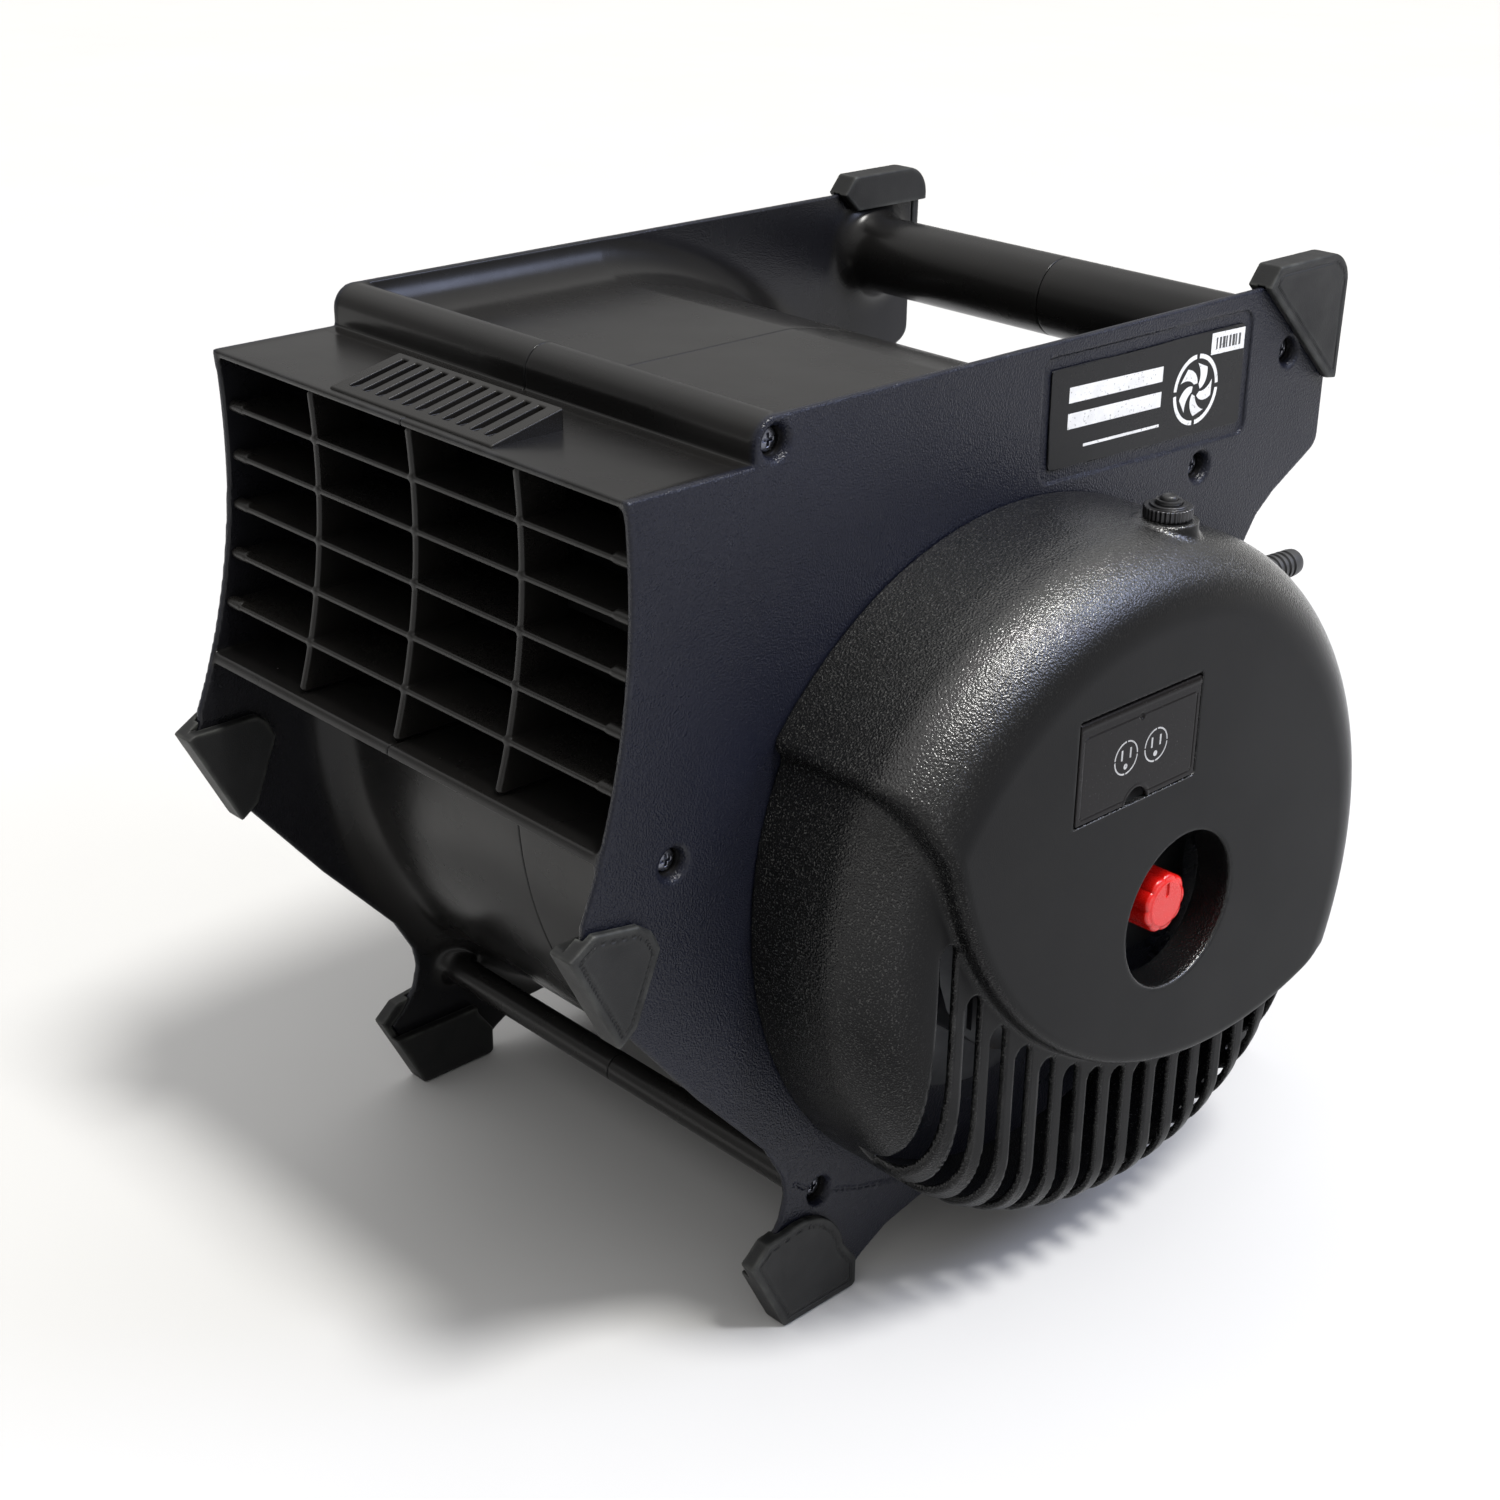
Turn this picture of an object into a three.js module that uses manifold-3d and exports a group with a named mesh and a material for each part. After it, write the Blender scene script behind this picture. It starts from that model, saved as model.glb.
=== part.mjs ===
// A portable centrifugal blower (air mover) for drying floors.
// Millimetres, +Z up.  Design frame: x from the mid-plane between the side plates towards the motor,
// y from the fan axis towards the back, z from the floor.  The last lines move the origin to the
// middle of the footprint.
import * as THREE from 'three';
import { mergeVertices } from 'three/addons/utils/BufferGeometryUtils.js';
import Module from 'manifold-3d';

const wasm = await Module();
wasm.setup();

// ---------------------------------------------------------------- driving dimensions
const GAP = 0.3; // clearance between pieces that touch
const SEAM = GAP / 2; // each housing half stops this far from the mid-plane
const AXIS_Z = 157; // fan axis above the floor
const PLATE_OUT = 120; // outer face of a side plate
const PLATE_IN = 117; // inner face of a side plate
const WALL = 3; // moulded wall
const ROOF_Z = 352.3; // top of the outlet duct
const TOP_Z = 368; // top edge of the side plates
const DUCT_FLOOR = 233; // inner floor of the outlet duct
const FLOOR_UNDER = 229; // underside of that floor
const MOUTH_RADIUS = 280; // the outlet's front edge is this large concave arc
const MOUTH_Z = 320; // height of the arc's middle
const MOUTH_Y = -184.7; // the arc's rearmost point
const SCROLL_END = 450; // degrees where the spiral meets the duct roof
const SCROLL_START = 225; // degrees where the spiral starts
const SCROLL_MIN = 126.5; // outer radius at the start
const SCROLL_MAX = ROOF_Z - AXIS_Z; // outer radius at the roof
const CUTOFF = 152.6; // degrees where the front wall of the scroll meets the duct floor
const CUTOFF_INSIDE = 150.6; // the same for the wall's inner face
const FRONT_TUBE = { y: -122.4, z: 358.6, r: 9.4 };
const REAR_TUBE = { y: 167.3, z: 338.5, r: 17.5 };
const LOW_TUBE = { y: -92.6, z: 51.8, r: 6.6 };
const FOOT_OUT = 123.5; // outer face of a foot
const FOOT_IN = 112; // inner face of a foot
const TILT_SLOPE = 0.5095; // run over rise of the plane under the front feet
const TILT_Y = -113.4; // where that plane meets the floor
const BACK_Y = 191; // where the plane behind the rear feet meets the floor
const BACK_SLOPE = 0.023;
const COVER_FACE = 195; // outer face of the motor cover
const COVER_R = 154.5;
const COVER_ROUND = 30; // edge rounding of the motor cover
const GRILLE_FACE = 185; // face of the cover's lower, slotted part
const GRILLE_CIRCLE = { y: 26, z: 183, r: 158 };
const SLOT = { first: -98.8, pitch: 14.73, count: 15, width: 8.4, back: 150 };
const KNOB = { y: 20, z: 164.7, r: 12.3, face: 189, hole: 31.3 };
const DOOR = { y0: -48, y1: 20.5, z0: 221, z1: 261.2, thick: 1.8, pinZ: 258.8, pinR: 0.8, knuckle: 1.8 };
const PANEL = { x: 163, thick: 2.5 }; // inner control panel
const BREAKER = { x: 167, y: 29 };
const IMPELLER = { x0: -88, x1: 66, r: 102, rIn: 82, blades: 30 };
const INTAKE_R = 84; // throat radius
const MOTOR = { r: 62, x0: 78, x1: 156 };
const SHAFT_R = 6;

const COLOURS = {
  shell: [0x1b1c20, 0.62, 0],
  cover: [0x1a1a1b, 0.6, 0],
  rubber: [0x2b2b2b, 0.85, 0],
  red: [0xd01c1c, 0.3, 0],
  smoked: [0x101113, 0.15, 0],
  steel: [0x9a9c9f, 0.35, 1],
  zinc: [0x55575a, 0.4, 1],
  copper: [0xa5582c, 0.4, 1],
  core: [0x5c5f63, 0.5, 1],
  label: [0x111111, 0.35, 0],
  fan: [0x26282b, 0.5, 0],
  white: [0xd9dadb, 0.5, 0],
};

const design = new THREE.Group();

// ---------------------------------------------------------------- helpers
const rad = (degrees) => (degrees * Math.PI) / 180;

// A closed three.js geometry as a manifold solid.
function solid(geometry) {
  const bare = new THREE.BufferGeometry();
  const source = geometry.index ? geometry.toNonIndexed() : geometry;
  bare.setAttribute('position', source.getAttribute('position'));
  const merged = mergeVertices(bare, 1e-4);
  return new wasm.Manifold(
    new wasm.Mesh({
      numProp: 3,
      vertProperties: new Float32Array(merged.attributes.position.array),
      triVerts: new Uint32Array(merged.index.array),
    }),
  );
}

// A manifold solid as a named mesh in the design frame.
function add(name, body, [color, roughness, metalness]) {
  const { numProp, vertProperties, triVerts } = body.getMesh();
  const geometry = new THREE.BufferGeometry();
  const positions = new Float32Array((vertProperties.length / numProp) * 3);
  for (let i = 0; i < positions.length / 3; i++) {
    positions.set(vertProperties.subarray(i * numProp, i * numProp + 3), i * 3);
  }
  geometry.setAttribute('position', new THREE.BufferAttribute(positions, 3));
  geometry.setIndex(new THREE.BufferAttribute(new Uint32Array(triVerts), 1));
  geometry.computeVertexNormals();
  const mesh = new THREE.Mesh(
    geometry,
    new THREE.MeshStandardMaterial({ color, roughness, metalness }),
  );
  mesh.name = name;
  design.add(mesh);
  return mesh;
}

// Outline drawn in (y, z), extruded along x.
const ALONG_X = new THREE.Matrix4().set(0, 0, 1, 0, 1, 0, 0, 0, 0, 1, 0, 0, 0, 0, 0, 1);
function prism(points, x0, x1) {
  const shape = new THREE.Shape(points.map(([y, z]) => new THREE.Vector2(y, z)));
  const geometry = new THREE.ExtrudeGeometry(shape, { depth: x1 - x0, bevelEnabled: false });
  return solid(geometry.applyMatrix4(ALONG_X).translate(x0, 0, 0));
}

// Outline in (y, z) extruded to x1 with a rounded front edge; its plain end is at x0.
function pillow(points, x0, x1, round, steps) {
  const shape = new THREE.Shape(points.map(([y, z]) => new THREE.Vector2(y, z)));
  const geometry = new THREE.ExtrudeGeometry(shape, {
    depth: x1 - x0,
    bevelThickness: round,
    bevelSize: round,
    bevelOffset: -round,
    bevelSegments: steps,
  });
  const body = solid(geometry.applyMatrix4(ALONG_X).translate(x0, 0, 0));
  return body.subtract(box(x0 - 2 * round, x0, -300, 300, -200, 500));
}

function box(x0, x1, y0, y1, z0, z1) {
  const geometry = new THREE.BoxGeometry(x1 - x0, y1 - y0, z1 - z0);
  return solid(geometry.translate((x0 + x1) / 2, (y0 + y1) / 2, (z0 + z1) / 2));
}

// A round bar along x.
function barX(y, z, r0, x0, x1, sides = 24, r1 = r0) {
  const geometry = new THREE.CylinderGeometry(r1, r0, x1 - x0, sides);
  return solid(geometry.rotateZ(-Math.PI / 2).translate((x0 + x1) / 2, y, z));
}

function barY(x, z, r, y0, y1, sides = 16) {
  const geometry = new THREE.CylinderGeometry(r, r, y1 - y0, sides);
  return solid(geometry.translate(x, (y0 + y1) / 2, z));
}

function barZ(x, y, r0, z0, z1, sides = 24, r1 = r0) {
  const geometry = new THREE.CylinderGeometry(r1, r0, z1 - z0, sides);
  return solid(geometry.rotateX(Math.PI / 2).translate(x, y, (z0 + z1) / 2));
}

// A profile of [radius, x] turned round an axis along x at (y, z).
function turned(profile, y, z, sides = 48) {
  const geometry = new THREE.LatheGeometry(
    profile.map(([r, x]) => new THREE.Vector2(r, x)),
    sides,
  );
  const body = solid(geometry.rotateZ(-Math.PI / 2).translate(0, y, z));
  if (body.volume() > 0) return body;
  return solid(
    new THREE.LatheGeometry(
      [...profile].reverse().map(([r, x]) => new THREE.Vector2(r, x)),
      sides,
    )
      .rotateZ(-Math.PI / 2)
      .translate(0, y, z),
  );
}

// Points on an arc in (y, z), from one angle to another in degrees.
function arc(y, z, r, from, to, steps) {
  const points = [];
  for (let i = 0; i <= steps; i++) {
    const a = rad(from + ((to - from) * i) / steps);
    points.push([y + r * Math.cos(a), z + r * Math.sin(a)]);
  }
  return points;
}

// The outline grown outwards by d (inwards when negative), corner by corner.
function grown(points, d) {
  const area = points.reduce((sum, [y, z], i) => {
    const [y1, z1] = points[(i + 1) % points.length];
    return sum + y * z1 - y1 * z;
  }, 0);
  const side = Math.sign(area) * d;
  return points.map((p, i) => {
    const a = points[(i + points.length - 1) % points.length];
    const b = points[(i + 1) % points.length];
    const u = new THREE.Vector2(p[0] - a[0], p[1] - a[1]).normalize();
    const v = new THREE.Vector2(b[0] - p[0], b[1] - p[1]).normalize();
    const n = new THREE.Vector2(u.y + v.y, -u.x - v.x).normalize();
    const spread = Math.max(0.4, n.x * u.y - n.y * u.x);
    return [p[0] + (n.x * side) / spread, p[1] + (n.y * side) / spread];
  });
}

const mirrored = (body) => body.mirror([1, 0, 0]);
const joined = (bodies) => bodies.reduce((a, b) => a.add(b));

// ---------------------------------------------------------------- housing outlines, in (y, z)
const GROWTH = Math.log(SCROLL_MAX / SCROLL_MIN) / (SCROLL_END - SCROLL_START);

// Outer radius of the scroll at an angle; below SCROLL_START the front wall eases outwards again.
function scrollRadius(degrees) {
  if (degrees >= SCROLL_START) return SCROLL_MIN * Math.exp(GROWTH * (degrees - SCROLL_START));
  return SCROLL_MIN + 14.5 * ((SCROLL_START - degrees) / 51) ** 2;
}

function scrollPoints(offset, from, to, steps) {
  const points = [];
  for (let i = 0; i <= steps; i++) {
    const degrees = from + ((to - from) * i) / steps;
    const r = scrollRadius(degrees) + offset;
    points.push([r * Math.cos(rad(degrees)), AXIS_Z + r * Math.sin(rad(degrees))]);
  }
  return points;
}

// Height of the arc of the mouth: y of the front edge at a height z.
const mouthY = (z) => MOUTH_Y - MOUTH_RADIUS + Math.sqrt(MOUTH_RADIUS ** 2 - (z - MOUTH_Z) ** 2);

function mouthPoints(z0, z1, steps, inset = 0) {
  const points = [];
  for (let i = 0; i <= steps; i++) {
    const z = z0 + ((z1 - z0) * i) / steps;
    points.push([mouthY(z) + inset, z]);
  }
  return points;
}

const wallOutside = [
  ...mouthPoints(FLOOR_UNDER, ROOF_Z, 6),
  ...scrollPoints(0, SCROLL_END, CUTOFF, 32),
];
const wallInside = [
  [-230, ROOF_Z - WALL],
  ...scrollPoints(-WALL, SCROLL_END, CUTOFF_INSIDE, 32),
  [-230, DUCT_FLOOR],
];

// Sole plane under the front feet: y at a height z, set in by d.
const tiltY = (z, d = 0) => TILT_Y - z * TILT_SLOPE + d * 1.12;
const backY = (z) => BACK_Y + z * BACK_SLOPE;

const SOLE = 3.4; // plate edge stops this far inside a foot's sole
const plateOutline = [
  ...mouthPoints(209.5, ROOF_Z, 10),
  [FRONT_TUBE.y - FRONT_TUBE.r, ROOF_Z],
  ...arc(FRONT_TUBE.y, FRONT_TUBE.z, FRONT_TUBE.r, 180, 90, 6),
  ...arc(186, TOP_Z - 9, 9, 90, 0, 5),
  ...arc(187, 299, 8, 0, -62, 4),
  [166.8, 279],
  [156.3, 270.9],
  ...scrollPoints(4, 394.5, 338, 10),
  [156, 74],
  [170, 56],
  [backY(42) - SOLE, 42],
  [backY(3) - SOLE, SOLE],
  [143, SOLE],
  [128, 16],
  ...scrollPoints(4, 312, 257, 9),
  [-53.6, 17.1],
  [-68, 9.5],
  [-76, SOLE],
  [tiltY(SOLE, SOLE), SOLE],
  [tiltY(33, SOLE), 33],
  [-120.5, 37.8],
  [-113.3, 47.2],
  [-110.7, 57.4],
  [-112.2, 66.5],
  [-121.4, 83],
  [-155, 119.8],
  [-187.6, 159.6],
  [tiltY(162.5, SOLE), 162.5],
  [tiltY(199, SOLE), 199],
  [-207.6, 205],
];

// ---------------------------------------------------------------- housing halves
const SCREWS = [
  { name: 'housing_screw_top_rear', y: 112.3, z: 301 },
  { name: 'housing_screw_front', y: -167.5, z: 220.1 },
  { name: 'housing_screw_low', y: LOW_TUBE.y, z: LOW_TUBE.z },
  { name: 'housing_screw_top_front', y: FRONT_TUBE.y, z: FRONT_TUBE.z },
  { name: 'housing_screw_handle', y: REAR_TUBE.y, z: REAR_TUBE.z },
];
const PAD = { half: 47, y0: -183, y1: -152, rise: 7.6, slots: 11, slotWidth: 3.6 };

function ventPad() {
  const pitch = (2 * PAD.half) / (PAD.slots + 1);
  const ramp = [
    [PAD.y0, ROOF_Z - 1],
    [PAD.y0, ROOF_Z + 0.6],
    [PAD.y1, ROOF_Z + PAD.rise],
    [PAD.y1, ROOF_Z - 1],
  ];
  const groove = [
    [PAD.y0 + 4, ROOF_Z + 0.5],
    [PAD.y1 - 2.5, ROOF_Z + 0.5],
    [PAD.y1 - 2.5, ROOF_Z + 12],
    [PAD.y0 + 4, ROOF_Z + 12],
  ];
  let pad = prism(ramp, SEAM, PAD.half);
  for (let i = 0; i < PAD.slots; i++) {
    const x = (i - (PAD.slots - 1) / 2) * pitch;
    if (x + PAD.slotWidth / 2 < SEAM) continue;
    pad = pad.subtract(prism(groove, x - PAD.slotWidth / 2, x + PAD.slotWidth / 2));
  }
  return pad;
}

// The half on the +x side, without the openings that differ between the two.
function housingHalf() {
  const plate = prism(plateOutline, PLATE_IN, PLATE_OUT);
  const wall = prism(wallOutside, SEAM, PLATE_IN + 1);
  const cavity = prism(wallInside, SEAM - 1, PLATE_IN);
  const handle = barX(REAR_TUBE.y, REAR_TUBE.z, REAR_TUBE.r, SEAM, PLATE_IN + 1, 24);
  const bore = barX(REAR_TUBE.y, REAR_TUBE.z, REAR_TUBE.r - WALL, SEAM - 1, PLATE_IN - 6, 24);
  const flare = barX(REAR_TUBE.y, REAR_TUBE.z, REAR_TUBE.r, PLATE_IN - 4, PLATE_IN + 1, 24, REAR_TUBE.r + 3);
  const frontTube = barX(FRONT_TUBE.y, FRONT_TUBE.z, FRONT_TUBE.r, SEAM, PLATE_OUT, 20);
  const web = box(SEAM, PLATE_OUT, FRONT_TUBE.y - FRONT_TUBE.r, FRONT_TUBE.y + 6, ROOF_Z - 1, FRONT_TUBE.z);
  const lowTube = barX(LOW_TUBE.y, LOW_TUBE.z, LOW_TUBE.r, SEAM, PLATE_IN + 1, 16);
  const boss = (s) => barX(s.y, s.z, 7, PLATE_IN - 14, PLATE_IN + 1, 16);
  const shell = joined([wall.subtract(cavity), plate]);
  return joined([
    shell,
    handle.add(flare).subtract(bore),
    frontTube.add(web).subtract(cavity),
    lowTube,
    ventPad(),
    boss(SCREWS[0]),
    boss(SCREWS[1]),
  ]);
}

// A screw hole with a conical mouth in the outer face of the right plate.
function screwHole({ y, z }) {
  return barX(y, z, 2.4, PLATE_OUT - 20, PLATE_OUT - 7, 8)
    .add(barX(y, z, 4.6, PLATE_OUT - 7.1, PLATE_OUT - 4, 16))
    .add(barX(y, z, 4.6, PLATE_OUT - 4.1, PLATE_OUT + 0.5, 16, 6.4));
}

const NAMEPLATE = [
  [14, 316],
  [139, 311.5],
  [138, 359],
  [13, 360.5],
];
const MOTOR_HOLE = MOTOR.r + 4;

let rightHalf = housingHalf();
for (const screw of SCREWS) rightHalf = rightHalf.subtract(screwHole(screw));
rightHalf = rightHalf
  .subtract(barX(0, AXIS_Z, MOTOR_HOLE, PLATE_IN - 1, PLATE_OUT + 1, 48))
  .subtract(prism(NAMEPLATE, PLATE_OUT - 0.9, PLATE_OUT + 1));

// The lower front screw sits nearer the axis, where the slotted part of the cover ends.
const COVER_SCREWS = [
  [35, COVER_R - 20],
  [145, COVER_R - 20],
  [205, COVER_R - 52],
  [325, COVER_R - 20],
].map(([a, r]) => ({
  y: r * Math.cos(rad(a)),
  z: AXIS_Z + r * Math.sin(rad(a)),
}));
for (const { y, z } of COVER_SCREWS) {
  rightHalf = rightHalf.subtract(barX(y, z, 2.4, PLATE_IN - 1, PLATE_OUT + 1, 12));
}

const PLATE_FIXINGS = [45, 135, 225, 315].map((a) => ({
  y: 78 * Math.cos(rad(a)),
  z: AXIS_Z + 78 * Math.sin(rad(a)),
}));
for (const { y, z } of PLATE_FIXINGS) {
  rightHalf = rightHalf.subtract(barX(y, z, 2.4, PLATE_IN - 1, PLATE_OUT + 1, 12));
}
add('housing_right', rightHalf, COLOURS.shell);

const leftHalf = mirrored(housingHalf()).subtract(
  barX(0, AXIS_Z, INTAKE_R + 6, -PLATE_OUT - 1, -PLATE_IN + 1, 40),
);
add('housing_left', leftHalf, COLOURS.shell);

// ---------------------------------------------------------------- outlet grille
const SLATS = 5;
const DIVIDERS = [-60, 0, 60];
const GRILLE_DEPTH = 26;
const innerWidth = PLATE_IN - GAP;
function outletGrille() {
  const ductHeight = ROOF_Z - WALL - DUCT_FLOOR;
  const bodies = [];
  for (let i = 1; i <= SLATS; i++) {
    const z = DUCT_FLOOR + (ductHeight * i) / (SLATS + 1);
    const front = mouthY(z) + 2;
    bodies.push(box(-innerWidth, innerWidth, front, front + GRILLE_DEPTH, z - 1.2, z + 1.2));
  }
  const low = DUCT_FLOOR + GAP;
  const high = ROOF_Z - WALL - GAP;
  for (const x of DIVIDERS) {
    const rib = [
      ...mouthPoints(low, high, 6, 2.2),
      [MOUTH_Y + GRILLE_DEPTH - 4, high],
      [MOUTH_Y + GRILLE_DEPTH - 4, low],
    ];
    bodies.push(prism(rib, x - 1.5, x + 1.5));
  }
  return joined(bodies);
}
add('outlet_grille', outletGrille(), COLOURS.shell);

// ---------------------------------------------------------------- intake side
const RING_LIP = INTAKE_R + 16;
const ringProfile = [
  [RING_LIP, -PLATE_OUT - GAP],
  [RING_LIP, -PLATE_OUT - GAP - 2.5],
  [INTAKE_R + 5, -PLATE_OUT - GAP - 2.5],
  [INTAKE_R, -PLATE_OUT + 4],
  [INTAKE_R - 3, -PLATE_OUT + 14],
  [INTAKE_R - 3, -PLATE_OUT + 26],
  [INTAKE_R - 0.5, -PLATE_OUT + 26],
  [INTAKE_R - 0.5, -PLATE_OUT + 14],
  [INTAKE_R + 3, -PLATE_OUT + 4],
  [INTAKE_R + 5.5, -PLATE_OUT - GAP],
  [RING_LIP, -PLATE_OUT - GAP],
];
add('intake_ring', turned(ringProfile, 0, AXIS_Z, 40), COLOURS.shell);

// Finger guard: rings joined by spokes, standing off the ring.
const GUARD_BACK = -PLATE_OUT - GAP - 2.5 - GAP;
const GUARD_FRONT = GUARD_BACK - 10.5;
function intakeGuard() {
  const hoop = (r, x0, x1, w) =>
    barX(0, AXIS_Z, r, x0, x1, 24).subtract(barX(0, AXIS_Z, r - w, x0 - 1, x1 + 1, 24));
  const bodies = [hoop(RING_LIP - 0.5, GUARD_BACK - 4, GUARD_BACK, 6)];
  for (const r of [30, 56, 80]) bodies.push(hoop(r, GUARD_FRONT, GUARD_FRONT + 3, 3));
  bodies.push(barX(0, AXIS_Z, 12, GUARD_FRONT, GUARD_FRONT + 3, 16));
  const spoke = [
    [8, GUARD_FRONT],
    [83, GUARD_FRONT],
    [RING_LIP - 1, GUARD_BACK - 3.5],
    [RING_LIP - 4, GUARD_BACK - 0.2],
    [RING_LIP - 6, GUARD_BACK - 0.2],
    [80, GUARD_FRONT + 3],
    [8, GUARD_FRONT + 3],
  ];
  const shape = new THREE.Shape(spoke.map(([r, x]) => new THREE.Vector2(r, x)));
  for (let i = 0; i < 8; i++) {
    const blade = new THREE.ExtrudeGeometry(shape, { depth: 3, bevelEnabled: false })
      .translate(0, 0, -1.5)
      .applyMatrix4(new THREE.Matrix4().set(0, 1, 0, 0, 1, 0, 0, 0, 0, 0, -1, 0, 0, 0, 0, 1))
      .rotateX(rad(22.5 + i * 45))
      .translate(0, 0, AXIS_Z);
    bodies.push(solid(blade));
  }
  return joined(bodies);
}
add('intake_guard', intakeGuard(), COLOURS.shell);

// ---------------------------------------------------------------- impeller and motor
function impeller() {
  const { x0, x1, r, rIn, blades } = IMPELLER;
  const disc = turned(
    [
      [SHAFT_R + 8.3, x1 - 3],
      [r, x1 - 3],
      [r, x1],
      [SHAFT_R + 8.3, x1],
      [SHAFT_R + 8.3, x1 - 3],
    ],
    0,
    AXIS_Z,
    40,
  );
  const shroud = turned(
    [
      [rIn + 3, x0],
      [r, x0],
      [r, x0 + 3],
      [rIn + 3, x0 + 3],
      [rIn + 3, x0],
    ],
    0,
    AXIS_Z,
    40,
  );
  // One forward-curved blade: a thin arc between the inner and outer radius.
  const bend = 24;
  const outer = arc(0, 0, bend + 0.8, 200, 262, 2);
  const inner = arc(0, 0, bend - 0.8, 262, 200, 2);
  const blade = [...outer, ...inner].map(([a, b]) => [b + r + bend - 14.5, a + 4]);
  const bodies = [disc, shroud];
  for (let i = 0; i < blades; i++) {
    const turn = rad((i * 360) / blades);
    const section = blade.map(([a, b]) => [
      a * Math.cos(turn) - b * Math.sin(turn),
      AXIS_Z + a * Math.sin(turn) + b * Math.cos(turn),
    ]);
    bodies.push(prism(section, x0 + 1, x1 - 1));
  }
  return joined(bodies);
}
add('impeller', impeller(), COLOURS.fan);

const hubProfile = [
  [SHAFT_R + GAP, IMPELLER.x1 - 22],
  [SHAFT_R + 8, IMPELLER.x1 - 22],
  [SHAFT_R + 8, IMPELLER.x1 - 3 - GAP],
  [SHAFT_R + 8, IMPELLER.x1 + 4],
  [SHAFT_R + GAP, IMPELLER.x1 + 4],
  [SHAFT_R + GAP, IMPELLER.x1 - 22],
];
add('impeller_hub', turned(hubProfile, 0, AXIS_Z, 24), COLOURS.zinc);
add('motor_shaft', barX(0, AXIS_Z, SHAFT_R, IMPELLER.x1 - 24, MOTOR.x1 - 1, 20), COLOURS.steel);

function tube(r0, r1, x0, x1, sides = 32) {
  return turned(
    [
      [r0, x0],
      [r1, x0],
      [r1, x1],
      [r0, x1],
      [r0, x0],
    ],
    0,
    AXIS_Z,
    sides,
  );
}
const CORE = { x0: 98, x1: 134 };
add('rotor', tube(SHAFT_R + GAP, 30, CORE.x0, CORE.x1, 32), COLOURS.core);
add('stator', tube(30.8, MOTOR.r - 4, CORE.x0, CORE.x1), COLOURS.core);
add('winding_fan_side', tube(34, 52, CORE.x0 - 11, CORE.x0 - GAP), COLOURS.copper);
add('winding_cover_side', tube(34, 52, CORE.x1 + GAP, CORE.x1 + 11), COLOURS.copper);

// Two pressed cups close the motor; each holds a bearing.
const BEARING = { r: 16, w: 9 };
function endBell(outerX, innerX) {
  const s = Math.sign(innerX - outerX);
  return turned(
    [
      [SHAFT_R + 1.2, outerX],
      [MOTOR.r - 10, outerX],
      [MOTOR.r, outerX + s * 8],
      [MOTOR.r, innerX],
      [MOTOR.r - 3, innerX],
      [MOTOR.r - 3, outerX + s * 9.5],
      [MOTOR.r - 11, outerX + s * 3],
      [BEARING.r + 3.3, outerX + s * 3],
      [BEARING.r + 3.3, outerX + s * (4 + BEARING.w)],
      [BEARING.r + GAP, outerX + s * (4 + BEARING.w)],
      [BEARING.r + GAP, outerX + s * 2.5],
      [SHAFT_R + 1.2, outerX + s * 2.5],
      [SHAFT_R + 1.2, outerX],
    ],
    0,
    AXIS_Z,
    28,
  );
}
const MOUNT = { x0: PLATE_OUT + GAP, x1: PLATE_OUT + GAP + 3 };
const bellJoint = (CORE.x0 + CORE.x1) / 2;
add('motor_bell_fan_side', endBell(MOTOR.x0, bellJoint - GAP / 2), COLOURS.zinc);
add('motor_bell_cover_side', endBell(MOTOR.x1, bellJoint + GAP / 2), COLOURS.zinc);
for (const [name, start] of [
  ['bearing_fan_side', MOTOR.x0 + 2.5 + GAP],
  ['bearing_cover_side', MOTOR.x1 - 2.5 - GAP - BEARING.w],
]) {
  add(name, tube(SHAFT_R + GAP, BEARING.r, start, start + BEARING.w, 28), COLOURS.steel);
}

// The plate that carries the motor on the right side of the housing.
let mountPlate = tube(MOTOR.r + GAP, 88, MOUNT.x0, MOUNT.x1, 48);
for (const { y, z } of PLATE_FIXINGS) {
  mountPlate = mountPlate.subtract(barX(y, z, 2.4, MOUNT.x0 - 1, MOUNT.x1 + 1, 12));
}
add('motor_mount_plate', mountPlate, COLOURS.zinc);

function panScrew(y, z, headX, headR, headH, direction, length, shankR) {
  const tip = headX - direction * length;
  const top = headX + direction * headH;
  const inHead = headX + direction * 0.5;
  const head = barX(y, z, headR, Math.min(headX, top), Math.max(headX, top), 8);
  const shank = barX(y, z, shankR, Math.min(tip, inHead), Math.max(tip, inHead), 6);
  return head.add(shank);
}
PLATE_FIXINGS.forEach(({ y, z }, i) => {
  add(`motor_mount_screw_${i + 1}`, panScrew(y, z, MOUNT.x1 + GAP, 4.5, 2.6, 1, 12, 2), COLOURS.steel);
});

// Run capacitor lying beside the motor, on the mount plate.
const capacitor = box(MOUNT.x1 + GAP, 146, -30, 24, 226, 252).subtract(
  box(MOUNT.x1 + 14, 147, 18, 25, 225, 253),
);
add('run_capacitor', capacitor, COLOURS.fan);

// ---------------------------------------------------------------- motor cover
const SIDES = 54;
const stepLine = [
  [-230, 250],
  [-124, 250],
  [-118.5, 246],
  [-113.6, 235],
  ...arc(60, 266, 173, 194, 292, 18),
  [150, 98],
  [230, 92],
  [230, 420],
  [-230, 420],
];

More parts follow.
